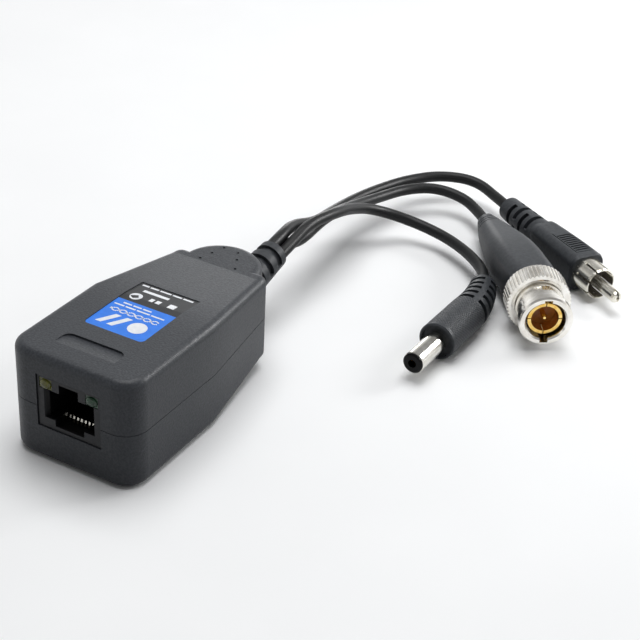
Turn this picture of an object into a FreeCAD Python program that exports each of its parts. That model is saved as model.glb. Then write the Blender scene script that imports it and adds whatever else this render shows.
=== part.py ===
import FreeCAD, Part
import os
import math
from FreeCAD import Placement, Rotation, Vector
from types import SimpleNamespace
import Sketcher

# Video balun in a tapered plastic case: network socket at the front, three cords at the rear
# that end in a round power plug, a bayonet video plug and a phono audio plug.
# Millimetres. X across, Y from the socket face to the cords, Z up from the table. The origin lies
# on the table under the middle of the case and its strain relief.

os.makedirs("parts", exist_ok=True)
doc = FreeCAD.newDocument("video_balun")
sheet = doc.addObject("Spreadsheet::Sheet", "Sizes")

# Driving sizes: name, value, what it is
SIZES = (
    ("case_width", 32.9, "case, across the parallel part"),
    ("case_height", 26.5, "case, at the parallel part"),
    ("case_wall", 1.8, "wall of both case halves"),
    ("seam_height", 13.5, "joint between the case halves above the table"),
    ("seam_groove", 0.12, "depth of the fine groove along the joint"),
    ("seam_gap", 0.16, "height of that groove"),
    ("taper_start", 30.6, "front face to the start of the taper"),
    ("side_taper", 0.14, "narrowing of each side per mm"),
    ("top_taper", 0.09, "fall of the top and rise of the bottom per mm"),
    ("facet_start", 55.7, "front face to the level facet at the rear"),
    ("shoulder_reach", 3.4, "start of the level facet to the rear shoulders"),
    ("nose_offset", 1.6, "start of the level facet to the centre of the round nose"),
    ("nose_radius", 10.0, "radius of the round nose"),
    ("corner_radius", 5.5, "upright corners at the front"),
    ("shoulder_radius", 2.4, "upright corners at the rear shoulders"),
    ("rim_radius", 1.9, "rounding along the top and bottom rims"),
    ("overshoot", 1.0, "length by which a cutting form passes a face"),
    ("dip_width", 15.6, "finger dip on top, across"),
    ("dip_front", 6.0, "front face to the start of the finger dip"),
    ("dip_rear", 10.5, "front face to the rear wall of the finger dip"),
    ("dip_depth", 0.6, "finger dip at its rear wall"),
    ("dip_radius", 2.0, "rear corners of the finger dip"),
    ("label_width", 15.6, "label recess, across"),
    ("label_front", 15.7, "front face to the label recess"),
    ("label_length", 21.9, "label recess, along"),
    ("label_depth", 0.35, "depth of the label recess"),
    ("label_corner", 1.2, "front corners of the label recess"),
    ("label_thickness", 0.2, "thickness of the label"),
    ("label_play", 0.08, "gap around the label"),
    ("dimple_radius", 0.35, "small dimples on the rear facet"),
    ("dimple_depth", 0.3, "their depth"),
    ("jack_width", 16.3, "network socket, across"),
    ("jack_height", 12.7, "network socket, height"),
    ("jack_depth", 18.0, "network socket, front to rear"),
    ("jack_inset", 0.3, "socket face behind the case face"),
    ("jack_play", 0.15, "gap around the socket in the case"),
    ("port_width", 11.9, "socket opening, across"),
    ("port_floor", 2.4, "socket underside to the floor of the opening"),
    ("port_height", 6.9, "height of the opening"),
    ("port_depth", 13.0, "depth of the opening"),
    ("notch_width", 7.6, "contact notch under the opening"),
    ("notch_depth", 1.5, "its depth below the opening"),
    ("latch_width", 5.0, "slot for the plug's latch"),
    ("latch_height", 2.5, "its height above the opening"),
    ("mouth_chamfer", 0.6, "bevelled mouth of the opening"),
    ("insert_thickness", 1.0, "contact carrier in the socket"),
    ("contact_pitch", 1.016, "spacing of the eight contacts"),
    ("contact_width", 0.45, "width of one contact"),
    ("contact_thickness", 0.35, "thickness of one contact"),
    ("contact_setback", 3.2, "socket face to the contacts"),
    ("contact_length", 7.5, "length of the contacts"),
    ("lamp_width", 3.2, "lamp window beside the latch slot"),
    ("lamp_height", 2.5, "its height"),
    ("lamp_depth", 5.0, "its depth"),
    ("lamp_inset", 0.1, "lamp behind the socket face"),
    ("lamp_edge", 0.55, "lamp to the side and the top of the socket"),
    ("lamp_play", 0.04, "gap around a lamp in its window"),
    ("board_height", 8.6, "top of the circuit board above the table"),
    ("board_thickness", 1.6, "circuit board"),
    ("board_width", 18.4, "circuit board, across"),
    ("board_length", 52.0, "circuit board, along"),
    ("board_front", 2.3, "front face to the board"),
    ("post_radius", 1.4, "supports under the board"),
    ("post_setback", 4.0, "board ends to the supports"),
    ("post_spread", 6.0, "supports from the middle"),
    ("boss_offset", 11.9, "screw bosses from the middle"),
    ("boss_station", 24.0, "front face to the screw bosses"),
    ("boss_radius", 2.3, "screw bosses"),
    ("screw_radius", 1.0, "screw thread"),
    ("screw_play", 0.04, "gap around the screw"),
    ("screw_head_radius", 1.8, "screw head"),
    ("screw_head_height", 1.3, "screw head"),
    ("screw_length", 14.0, "screw under its head"),
    ("sink_depth", 3.0, "counterbore for the screw head"),
    ("sink_play", 0.25, "gap around the screw head"),
    ("slot_width", 0.6, "cross slots in the screw head"),
    ("slot_length", 2.5, "cross slots in the screw head, along"),
    ("slot_depth", 0.65, "cross slots in the screw head"),
    ("core_radius", 4.6, "ring core, outside"),
    ("core_hole", 2.5, "ring core, inside"),
    ("core_height", 3.8, "ring core"),
    ("core_station", 29.5, "front face to the ring core"),
    ("core_lift", 0.8, "ring core above the board"),
    ("wire_size", 0.45, "winding wire"),
    ("wire_play", 0.06, "gap between the winding and the core"),
    ("turns", 12.0, "turns of the winding"),
    ("arrester_radius", 2.4, "surge arrester"),
    ("arrester_length", 6.0, "surge arrester, across"),
    ("arrester_station", 41.0, "front face to the surge arrester"),
    ("capacitor_width", 2.6, "coupling capacitor, across"),
    ("capacitor_length", 4.6, "coupling capacitor, along"),
    ("capacitor_height", 5.2, "coupling capacitor"),
    ("capacitor_station", 29.5, "front face to the coupling capacitors"),
    ("capacitor_offset", 7.2, "coupling capacitors from the middle"),
    ("chip_width", 1.25, "chip resistor, across"),
    ("chip_length", 2.0, "chip resistor, along"),
    ("chip_height", 0.5, "chip resistor"),
    ("chip_station", 35.4, "front face to the chip resistors"),
    ("chip_pitch", 3.0, "spacing of the chip resistors"),
    ("relief_tilt", 10.0, "strain relief tips up by this many degrees"),
    ("relief_height", 13.14, "strain relief axis above the table at the nose tip"),
    ("relief_radius", 4.5, "strain relief at the case"),
    ("relief_end_radius", 3.75, "strain relief at its end"),
    ("relief_reach", 15.14, "nose tip to the end of the strain relief"),
    ("relief_edge", 0.5, "bevel at the end of the strain relief"),
    ("relief_inner", 6.0, "nose tip back to the inner end of the strain relief"),
    ("relief_play", 0.05, "gap around the strain relief in the case"),
    ("flange_radius", 5.2, "flange inside the case"),
    ("flange_thickness", 1.6, "flange inside the case"),
    ("relief_slot", 1.9, "width of the three slots of the strain relief"),
    ("relief_slot_floor", 3.1, "radius left under those slots"),
    ("relief_slot_first", 3.5, "end of the strain relief to the middle of the last slot"),
    ("relief_slot_pitch", 4.1, "spacing of the slots"),
    ("relief_slot_start", -8.0, "angle at which a slot starts"),
    ("relief_slot_sweep", 196.0, "angle that a slot runs through"),
    ("cord_diameter", 3.0, "all three cords"),
    ("cord_spread", 1.85, "cords from the strain relief axis at its end"),
    ("lead_diameter", 1.1, "wires inside the case"),
    ("lead_spacing", 1.5, "spacing of the wires on the board"),
    ("lead_split", 0.66, "wires from the middle of their cord"),
    ("lead_run", 3.5, "straight run of the wires behind the strain relief"),
    ("lead_rise", 3.0, "upright run of the wires above the board"),
    ("lead_station", 5.0, "outer pairs of wires from the middle of the board"),
    ("power_height", 4.82, "power plug axis above the table"),
    ("sleeve_radius", 2.75, "power plug sleeve, outside"),
    ("sleeve_wall", 0.35, "power plug sleeve"),
    ("sleeve_length", 12.1, "tip of the power plug to its grip"),
    ("sleeve_step", 0.1, "grip to the step where the sleeve gets slimmer"),
    ("sleeve_undercut", 0.18, "depth of that step"),
    ("cap_reach", 0.7, "cap of the power plug insulator in front of the sleeve"),
    ("cap_radius", 2.57, "that cap"),
    ("power_bore", 1.05, "hole for the pin, radius"),
    ("power_spring_radius", 1.55, "spring contact, outside"),
    ("power_spring_setback", 1.6, "spring contact behind the sleeve's end"),
    ("power_spring_length", 9.0, "spring contact"),
    ("power_spring_slot", 0.5, "slot of the spring contact"),
    ("power_spring_cut", 6.3, "length of that slot"),
    ("power_grip_radius", 4.8, "power plug grip"),
    ("power_grip_length", 15.9, "straight part of the grip"),
    ("power_ring_outer", 4.1, "recess in the grip's front, outside"),
    ("power_ring_depth", 0.7, "recess in the grip's front"),
    ("power_tail_length", 15.7, "bent tail of the power plug"),
    ("power_tail_radius", 3.45, "tail at its end"),
    ("power_tail_land", 0.7, "plain end of the tail behind its grooves"),
    ("power_tail_bend", 22.4, "bend of the tail in degrees"),
    ("tail_grooves", 5.0, "grooves in each side of the tail"),
    ("tail_groove_share", 0.46, "part of the pitch that a groove takes"),
    ("tail_groove_depth", 0.9, "grooves in the tail"),
    ("tail_spine", 1.5, "spines between the grooves, on top and below"),
    ("tail_spine_turn", 20.0, "lean of the spines in degrees"),
    ("embed", 3.0, "metal parts held inside a grip by this much"),
    ("video_height", 8.11, "video plug axis above the table"),
    ("nut_front_radius", 6.75, "bayonet nut, front band"),
    ("nut_band", 2.2, "front band of the nut, along"),
    ("nut_barrel_radius", 6.2, "barrel of the nut"),
    ("nut_neck_radius", 5.75, "neck in front of the knurled ring"),
    ("nut_neck", 0.6, "that neck, along"),
    ("nut_bore", 4.95, "bore of the nut"),
    ("nut_mouth", 0.38, "bevel at the mouth of the bore"),
    ("nut_front_length", 8.2, "front of the nut to the knurled ring"),
    ("knurl_step", 7.2, "front face of the knurled ring, outside"),
    ("knurl_radius", 8.11, "knurled ring of the nut"),
    ("knurl_length", 6.4, "knurled ring, along"),
    ("knurl_teeth", 48.0, "teeth of the knurled ring"),
    ("knurl_depth", 0.3, "depth of the knurl"),
    ("nut_rim", 0.4, "bevels of the nut"),
    ("nut_back_bore", 6.3, "recess for the retaining ring at the back of the nut"),
    ("nut_flange", 1.1, "flange in the bore of the nut"),
    ("bayonet_width", 2.0, "bayonet track"),
    ("bayonet_depth", 0.95, "bayonet track in the wall of the bore"),
    ("bayonet_entry", 6.0, "straight entry of the track"),
    ("bayonet_rise", 0.5, "advance of the track over its turn"),
    ("bayonet_sweep", 60.0, "turn of the track in degrees"),
    ("bayonet_angle", 90.0, "place of the first entry around the nut"),
    ("jacket_radius", 4.1, "slotted outer contact, outside"),
    ("jacket_wall", 0.66, "slotted outer contact"),
    ("jacket_lip", 0.2, "lip around the front of the outer contact"),
    ("jacket_lip_length", 1.0, "that lip, along"),
    ("jacket_front", 1.6, "nut front to the outer contact"),
    ("jacket_slot", 0.25, "slots of the outer contact"),
    ("jacket_slot_length", 6.0, "their length"),
    ("shank_radius", 3.7, "video plug body behind the collar"),
    ("shank_play", 0.1, "gap around the shank and the washers"),
    ("thrust_play", 0.05, "gap on both sides of the flange of the nut"),
    ("collar_radius", 4.7, "collar in the bore of the nut"),
    ("collar_start", 9.6, "nut front to the collar"),
    ("collar_length", 1.2, "collar"),
    ("gasket_thickness", 1.0, "sealing ring in front of the collar"),
    ("gasket_play", 0.05, "gap around the sealing ring"),
    ("washer_thickness", 0.3, "thrust washer"),
    ("wave_height", 0.9, "wave washer, as fitted"),
    ("wave_thickness", 0.25, "wave washer, sheet"),
    ("ring_groove", 3.3, "bottom of the groove for the retaining ring"),
    ("ring_thickness", 0.6, "retaining ring"),
    ("ring_outer", 5.6, "retaining ring, outside"),
    ("ring_gap", 50.0, "opening of the retaining ring in degrees"),
    ("dielectric_front", 5.2, "nut front to the insulator"),
    ("dielectric_length", 5.4, "video plug insulator"),
    ("video_pin_radius", 0.68, "video plug pin"),
    ("video_pin_front", 1.9, "nut front to the pin"),
    ("video_pin_length", 16.0, "video plug pin"),
    ("video_boot_gap", 0.3, "knurled ring to the boot"),
    ("video_boot_half", 6.2, "boot at its front, half across the flats"),
    ("video_boot_corner", 3.4, "rounded edges of the boot at its front"),
    ("video_boot_length", 44.1, "boot of the video plug"),
    ("video_boot_end", 2.5, "boot at its end, radius"),
    ("video_end_height", 5.0, "end of the boot above the table"),
    ("video_boot_bend", 11.8, "bend of the boot in degrees"),
    ("video_boot_sway", 1.2, "sideways swell of the bend in the middle of the boot"),
    ("video_boot_ring", 0.2, "depth of the fine rings near the end of the boot"),
    ("video_ring_width", 0.4, "width of those rings"),
    ("audio_height", 5.06, "audio plug axis above the table"),
    ("audio_pin_radius", 1.6, "audio plug pin"),
    ("audio_pin_reach", 14.37, "pin in front of the grip"),
    ("audio_pin_slot", 0.5, "slot in the pin's tip"),
    ("audio_pin_slot_length", 2.2, "its length"),
    ("audio_pin_bore", 0.45, "hollow in the tip of the pin, radius"),
    ("audio_pin_hollow", 2.7, "hollow in the tip of the pin, depth"),
    ("audio_pin_tip", 0.9, "flat end of the pin's rounded tip, radius"),
    ("audio_pin_round", 1.0, "length of the rounded tip"),
    ("petal_reach", 6.6, "shell in front of the grip"),
    ("petal_radius", 4.35, "shell, outside"),
    ("petal_wall", 0.5, "shell"),
    ("petals", 8.0, "petals of the shell"),
    ("petal_turn", 20.0, "place of the first slot around the shell in degrees"),
    ("petal_slot", 0.55, "slots between the petals"),
    ("petal_slot_length", 5.2, "their length"),
    ("plug_disc", 1.5, "audio plug insulator in front of the grip"),
    ("audio_half", 5.06, "audio plug grip, half across the flats"),
    ("audio_corner", 2.8, "rounded edges of that grip"),
    ("audio_length", 22.0, "audio plug grip"),
    ("audio_neck", 4.1, "tail at the grip, radius"),
    ("audio_tail_length", 17.2, "slotted tail of the audio plug"),
    ("audio_tail_radius", 3.34, "slotted tail at its end"),
    ("audio_tail_slot", 1.5, "slots of that tail"),
    ("audio_tail_first", 2.4, "grip to the first slot of the tail"),
    ("audio_tail_pitch", 3.1, "spacing of the slots of the tail"),
    ("audio_tail_sweep", 150.0, "angle that such a slot runs through"),
    ("audio_tail_floor", 2.3, "radius left under those slots"),
    ("pad_start", 3.6, "front of the audio grip to its ribbed field"),
    ("pad_length", 10.0, "ribbed field"),
    ("pad_side", 1.7, "middle of the grip to the near side of the ribbed field"),
    ("pad_low", 1.2, "height above the middle of the grip at which the ribs end"),
    ("pad_depth", 0.35, "depth of the grooves between the ribs"),
    ("pad_ribs", 9.0, "ribs in the field"),
    ("pad_line", 0.25, "fine line around the field"),
    ("pad_margin", 1.0, "that line from the ribs"),
)

for row, (alias, value, meaning) in enumerate(SIZES, start=1):
    sheet.set("A%d" % row, meaning)
    sheet.set("B%d" % row, str(value))
    sheet.setAlias("B%d" % row, alias)
doc.recompute()


class Size:
    """A size or a sum, product or quotient of sizes, as a number and as the formula behind it."""

    def __init__(self, number, formula):
        self.number = float(number)
        self.formula = formula

    def __float__(self):
        return self.number

    def __add__(self, other):
        other = as_size(other)
        return Size(self.number + other.number, "(%s + %s)" % (self.formula, other.formula))

    def __sub__(self, other):
        other = as_size(other)
        return Size(self.number - other.number, "(%s - %s)" % (self.formula, other.formula))

    def __mul__(self, other):
        other = as_size(other)
        return Size(self.number * other.number, "(%s * %s)" % (self.formula, other.formula))

    def __truediv__(self, other):
        other = as_size(other)
        return Size(self.number / other.number, "(%s / %s)" % (self.formula, other.formula))

    def __neg__(self):
        return Size(-self.number, "(0 - %s)" % self.formula)

    def __radd__(self, other):
        return as_size(other) + self

    def __rsub__(self, other):
        return as_size(other) - self

    def __rmul__(self, other):
        return as_size(other) * self


def as_size(value):
    """A plain number as a size."""
    if isinstance(value, Size):
        return value
    return Size(value, "%.9g" % value)


def cosine(angle):
    """Cosine of an angle in degrees."""
    return Size(math.cos(math.radians(float(angle))), "cos(%s * 1 deg)" % angle.formula)


def sine(angle):
    """Sine of an angle in degrees."""
    return Size(math.sin(math.radians(float(angle))), "sin(%s * 1 deg)" % angle.formula)


d = SimpleNamespace(**{alias: Size(sheet.get(alias), "Sizes." + alias) for alias, value, meaning in SIZES})
ZERO = as_size(0)


# Helpers for objects whose sizes follow the sheet

def bind(item, **formulas):
    """Tie properties of an object to sizes."""
    for name, value in formulas.items():
        item.setExpression(name, as_size(value).formula)


def place(item, x=ZERO, y=ZERO, z=ZERO):
    """Tie the place of an object to sizes."""
    for axis, value in zip("xyz", (x, y, z)):
        item.setExpression(".Placement.Base." + axis, as_size(value).formula)


def box(name, length, width, height, x, y, z):
    """Box with its low corner at x, y, z."""
    item = doc.addObject("Part::Box", name)
    bind(item, Length=length, Width=width, Height=height)
    place(item, x, y, z)
    return item


def rod(name, radius, height, x=ZERO, y=ZERO, z=ZERO, axis=None, angle=None):
    """Cylinder, or a sector of one, that starts at x, y, z and runs along an axis, upward as made."""
    item = doc.addObject("Part::Cylinder", name)
    bind(item, Radius=radius, Height=height)
    if angle is not None:
        bind(item, Angle=angle)
    if axis is not None:
        item.Placement = Placement(Vector(), Rotation(Vector(0, 0, 1), axis))
    place(item, x, y, z)
    return item


def cut(name, base, tool):
    item = doc.addObject("Part::Cut", name)
    item.Base = base
    item.Tool = tool
    return item


def fuse(name, items):
    item = doc.addObject("Part::MultiFuse", name)
    item.Shapes = items
    return item


def common(name, items):
    item = doc.addObject("Part::MultiCommon", name)
    item.Shapes = items
    return item


def group(name, items):
    """Like pieces that stay separate solids in one sub-part."""
    item = doc.addObject("Part::Compound", name)
    item.Links = items
    return item


def origin_plane(body, role):
    return [plane for plane in body.Origin.OriginFeatures if plane.Role == role][0]


def outline(body, name, role, points):
    """Closed sketch of straight lines; each corner is tied to sizes along both axes."""
    sketch = body.newObject("Sketcher::SketchObject", name)
    sketch.AttachmentSupport = [(origin_plane(body, role), "")]
    sketch.MapMode = "FlatFace"
    corners = [Vector(float(across), float(along), 0) for across, along in points]
    count = len(corners)
    for index in range(count):
        sketch.addGeometry(Part.LineSegment(corners[index], corners[(index + 1) % count]), False)
    for index in range(count):
        sketch.addConstraint(Sketcher.Constraint("Coincident", index, 2, (index + 1) % count, 1))
    for index, point in enumerate(points):
        for kind, value, axis in (("DistanceX", point[0], -2), ("DistanceY", point[1], -1)):
            value = as_size(value)
            if value.formula == "0":
                sketch.addConstraint(Sketcher.Constraint("PointOnObject", index, 1, axis))
                continue
            number = sketch.addConstraint(Sketcher.Constraint(kind, -1, 1, index, 1, float(value)))
            sketch.setExpression("Constraints[%d]" % number, value.formula)
    return sketch


def new_body(name):
    body = doc.addObject("PartDesign::Body", name)
    body.Label = name
    return body


def padded(name, role, points, length, both_ways=False):
    """Body padded from a straight-sided outline."""
    body = new_body(name)
    sketch = outline(body, name + "_outline", role, points)
    pad = body.newObject("PartDesign::Pad", name + "_pad")
    pad.Profile = sketch
    pad.Midplane = both_ways
    bind(pad, Length=length)
    sketch.Visibility = False
    doc.recompute()
    return body


def turned(name, points):
    """Body turned about its own Z axis from corners given as radius and height."""
    body = new_body(name)
    sketch = outline(body, name + "_profile", "XZ_Plane", points)
    turn = body.newObject("PartDesign::Revolution", name + "_turn")
    turn.Profile = sketch
    turn.ReferenceAxis = (sketch, ["V_Axis"])
    turn.Angle = 360
    doc.recompute()
    return body


def round_edges(name, base, radius, wanted):
    """Fillet of the edges that a test picks."""
    doc.recompute()
    item = doc.addObject("Part::Fillet", name)
    item.Base = base
    chosen = [index for index, edge in enumerate(base.Shape.Edges, start=1) if wanted(edge)]
    item.Edges = [(index, float(radius), float(radius)) for index in chosen]
    doc.recompute()
    return item


def round_body(body, name, radius, wanted):
    """Fillet inside a body of the edges that a test picks."""
    base = body.Tip
    chosen = ["Edge%d" % index for index, edge in enumerate(base.Shape.Edges, start=1) if wanted(edge)]
    fillet = body.newObject("PartDesign::Fillet", name)
    fillet.Base = (base, chosen)
    bind(fillet, Radius=radius)
    doc.recompute()
    return fillet


def upright(edge):
    """True for an edge that runs straight up."""
    low, high = edge.Vertexes[0].Point, edge.Vertexes[-1].Point
    return abs(low.x - high.x) + abs(low.y - high.y) < 1e-6 and abs(low.z - high.z) > 1e-6


def shaped(name, shape):
    """Sub-part whose shape is made here from the sheet's sizes."""
    item = doc.addObject("Part::Feature", name)
    item.Shape = shape
    return item


finished = []


def finish(name, item, placement=None):
    """Give a sub-part its label and place and list it for export."""
    item.Label = name
    if placement is not None:
        item.Placement = placement
    finished.append((name, item))


# Places in the frame of the part

relief_out_y = d.relief_reach * cosine(d.relief_tilt)
shoulder_end = d.facet_start + d.shoulder_reach
nose_centre = d.facet_start + d.nose_offset
nose_tip = nose_centre + d.nose_radius
overall = nose_tip + relief_out_y + (d.relief_end_radius - d.relief_edge) * sine(d.relief_tilt)
setback = overall / 2
top_fall = d.top_taper * (d.facet_start - d.taper_start)


def seat(name, item):
    """Finish a sub-part that is drawn from the socket face backwards."""
    own = dict(item.ExpressionEngine).get(".Placement.Base.y", "0")
    item.Label = name
    item.setExpression(".Placement.Base.y", "%s - %s" % (own, setback.formula))
    finished.append((name, item))


# Case: outer form, hollow and joint

def rim_of(base, joint=None):
    """Test for an edge of a form between a level face and an upright one, but not at the joint plane."""

    def on_rim(edge):
        middle = edge.valueAt((edge.FirstParameter + edge.LastParameter) / 2)
        if joint is not None and abs(middle.y - float(joint)) < 0.01:
            return False
        faces = base.Shape.ancestorsOfType(edge, Part.Face)
        levels = sorted(abs(face.normalAt(*face.Surface.parameter(middle)).z) for face in faces)
        return len(levels) == 2 and levels[0] < 0.3 and levels[1] > 0.9

    return on_rim


def end_wire(form, station):
    """Outline of a form's flat end at a distance from the socket face."""
    flat = [face for face in form.Shape.Faces
            if face.BoundBox.YLength < 0.001 and abs(face.BoundBox.YMin - float(station)) < 0.001]
    return flat[0].OuterWire


def case_form(name, inset, rim_radius=None):
    """The case's form, or the same form set in on all sides, with or without rounded rims."""
    half = d.case_width / 2 - inset
    facet_half = half - d.side_taper * (d.facet_start - d.taper_start)
    rear_half = half - d.side_taper * (shoulder_end - d.taper_start)
    rear_end = shoulder_end - inset
    height = d.case_height - as_size(inset) * 2
    front = padded(name + "_front", "XY_Plane", (
        (-half, as_size(inset)), (half, as_size(inset)), (half, d.taper_start), (-half, d.taper_start)),
        height)
    place(front, z=inset)
    middle = float(d.taper_start) / 2
    round_body(front, name + "_front_corners", d.corner_radius - inset,
               lambda edge: upright(edge) and edge.Vertexes[0].Point.y < middle)
    rear = padded(name + "_rear", "XY_Plane", (
        (-facet_half, d.facet_start), (facet_half, d.facet_start), (rear_half, rear_end),
        (-rear_half, rear_end)), height - top_fall * 2)
    place(rear, z=top_fall + inset)
    round_body(rear, name + "_shoulders", d.shoulder_radius - inset,
               lambda edge: upright(edge) and edge.Vertexes[0].Point.y > float(rear_end) - 0.01)
    nose = rod(name + "_nose", d.nose_radius - inset, height - top_fall * 2, y=nose_centre,
               z=top_fall + inset)
    doc.recompute()
    if rim_radius is not None:
        front = round_edges(name + "_front_rims", front, rim_radius, rim_of(front, d.taper_start))
        rear = round_edges(name + "_rear_rims", rear, rim_radius, rim_of(rear, d.facet_start))
        nose = round_edges(name + "_nose_rims", nose, rim_radius, rim_of(nose))
    taper = shaped(name + "_taper", Part.makeLoft(
        [end_wire(front, d.taper_start), end_wire(rear, d.facet_start)], True, True))
    return fuse(name, [front, taper, rear, nose])


case_round = case_form("case_round", ZERO, d.rim_radius)
case_hollow = case_form("case_hollow", d.case_wall)
case_skin = cut("case_skin", case_round, case_hollow)
seam_form = case_form("seam_form", d.seam_groove)
seam_slab = box("seam_slab", d.case_width + d.overshoot * 2, nose_tip + d.overshoot * 2, d.seam_gap,
                -d.case_width / 2 - d.overshoot, -d.overshoot, d.seam_height - d.seam_gap / 2)
seam_ring = cut("seam_ring", seam_slab, seam_form)

jack_low = d.board_height
jack_hole = box("jack_hole", d.jack_width + d.jack_play * 2, d.case_wall + d.overshoot * 2,
                d.jack_height + d.jack_play * 2, -d.jack_width / 2 - d.jack_play, -d.overshoot,
                jack_low - d.jack_play)
relief_axis = Vector(0, float(cosine(d.relief_tilt)), float(sine(d.relief_tilt)))
relief_inner_y = nose_tip - d.relief_inner * cosine(d.relief_tilt)
relief_inner_z = d.relief_height - d.relief_inner * sine(d.relief_tilt)
relief_hole = rod("relief_hole", d.relief_radius + d.relief_play, d.relief_inner + d.relief_radius,
                  y=relief_inner_y, z=relief_inner_z, axis=relief_axis)
doc.recompute()
case_cuts = fuse("case_cuts", [seam_ring, jack_hole, relief_hole])
case_open = cut("case_open", case_skin, case_cuts)


def half_space(name, low, high):
    """Block that holds all of the case between two heights."""
    return box(name, d.case_width + d.overshoot * 2, nose_tip + d.overshoot * 2, high - low,
               -d.case_width / 2 - d.overshoot, -d.overshoot, low)


upper_skin = common("upper_skin", [case_open, half_space("upper_block", d.seam_height,
                                                         d.case_height + d.overshoot)])
lower_skin = common("lower_skin", [case_open, half_space("lower_block", -d.overshoot, d.seam_height)])

# Top cover: finger dip, label recess, dimples and screw bosses

dip_plan = padded("dip_plan", "XY_Plane", (
    (-d.dip_width / 2, ZERO), (d.dip_width / 2, ZERO),
    (d.dip_width / 2, d.dip_rear), (-d.dip_width / 2, d.dip_rear)), d.case_height + d.overshoot)
round_body(dip_plan, "dip_corners", d.dip_radius,
           lambda edge: upright(edge) and edge.Vertexes[0].Point.y > float(d.dip_front))
dip_side = padded("dip_side", "YZ_Plane", (
    (d.dip_front, d.case_height), (d.dip_rear + d.overshoot, d.case_height - d.dip_depth),
    (d.dip_rear + d.overshoot, d.case_height + d.overshoot), (d.dip_front, d.case_height + d.overshoot)),
    d.dip_width + d.overshoot, both_ways=True)
finger_dip = common("finger_dip", [dip_plan, dip_side])


def label_form(name, play, low, high):
    """Block over the label's field between two depths below the top of the case."""
    front = d.label_front + play
    rear = d.label_front + d.label_length - play
    rear_fall = d.top_taper * (rear - d.taper_start)
    form = padded(name, "YZ_Plane", (
        (front, d.case_height - low), (d.taper_start, d.case_height - low),
        (rear, d.case_height - low - rear_fall), (rear, d.case_height - high - rear_fall),
        (d.taper_start, d.case_height - high), (front, d.case_height - high)),
        d.label_width - play * 2, both_ways=True)
    round_body(form, name + "_corners", d.label_corner - play,
               lambda edge: upright(edge) and edge.Vertexes[0].Point.y < float(d.taper_start) - 1)
    return form


label_recess = label_form("label_recess", ZERO, d.label_depth, -d.overshoot)
facet_height = d.case_height - top_fall
# Dimples: across, and behind the start of the level facet
DIMPLES = ((-5.1, 1.0), (-4.2, 4.6), (-3.2, 8.3), (4.5, 1.2), (2.5, 5.1), (0.9, 8.1))
dimples = [rod("dimple_%d" % number, d.dimple_radius, d.dimple_depth + d.overshoot, as_size(across),
               d.facet_start + along, facet_height - d.dimple_depth)
           for number, (across, along) in enumerate(DIMPLES, start=1)]
upper_bosses = []
upper_pilots = []
for side, sign in (("left", -1), ("right", 1)):
    upper_bosses.append(rod("upper_boss_" + side, d.boss_radius,
                            d.case_height - d.case_wall / 2 - d.seam_height,
                            d.boss_offset * sign, d.boss_station, d.seam_height))
    upper_pilots.append(rod("upper_pilot_" + side, d.screw_radius + d.screw_play,
                            d.sink_depth + d.screw_length + d.overshoot - d.seam_height,
                            d.boss_offset * sign, d.boss_station, d.seam_height))
upper_full = fuse("upper_full", [upper_skin] + upper_bosses)
upper_cuts = fuse("upper_cuts", [finger_dip, label_recess] + dimples + upper_pilots)
seat("top_cover", cut("top_cover_cut", upper_full, upper_cuts))
seat("label_panel", label_form("label_sheet", d.label_play, d.label_depth,
                               d.label_depth - d.label_thickness))

# Bottom shell: board supports and counterbored screw bosses

board_low = d.board_height - d.board_thickness
lower_bosses = []
lower_drills = []
screws = []
for side, sign in (("left", -1), ("right", 1)):
    lower_bosses.append(rod("lower_boss_" + side, d.boss_radius, d.seam_height - d.case_wall / 2,
                            d.boss_offset * sign, d.boss_station, d.case_wall / 2))
    lower_drills.append(rod("lower_drill_" + side, d.screw_radius + d.screw_play,
                            d.seam_height + d.overshoot * 2, d.boss_offset * sign, d.boss_station,
                            -d.overshoot))
    lower_drills.append(rod("lower_sink_" + side, d.screw_head_radius + d.sink_play,
                            d.sink_depth + d.overshoot, d.boss_offset * sign, d.boss_station,
                            -d.overshoot))
post_rear = d.board_front + d.board_length - d.post_setback
for end, station, foot in (
        ("front", d.board_front + d.post_setback, d.case_wall / 2),
        ("rear", post_rear, d.case_wall / 2 + d.top_taper * (post_rear - d.taper_start))):
    for side, sign in (("left", -1), ("right", 1)):
        lower_bosses.append(rod("post_%s_%s" % (end, side), d.post_radius, board_low - foot,
                                d.post_spread * sign, station, foot))
lower_full = fuse("lower_full", [lower_skin] + lower_bosses)
sink_wall = rod("sink_wall_left", d.boss_radius + d.case_wall / 2, d.sink_depth + d.case_wall / 2,
                -d.boss_offset, d.boss_station)
sink_wall_right = rod("sink_wall_right", d.boss_radius + d.case_wall / 2, d.sink_depth + d.case_wall / 2,
                      d.boss_offset, d.boss_station)
sink_walls = common("sink_walls", [fuse("sink_wall_pair", [sink_wall, sink_wall_right]), case_round])
lower_whole = fuse("lower_whole", [lower_full, sink_walls])
lower_cuts = fuse("lower_cuts", lower_drills)
seat("bottom_shell", cut("bottom_shell_cut", lower_whole, lower_cuts))

# Case screws, heads down in the counterbores

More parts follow.
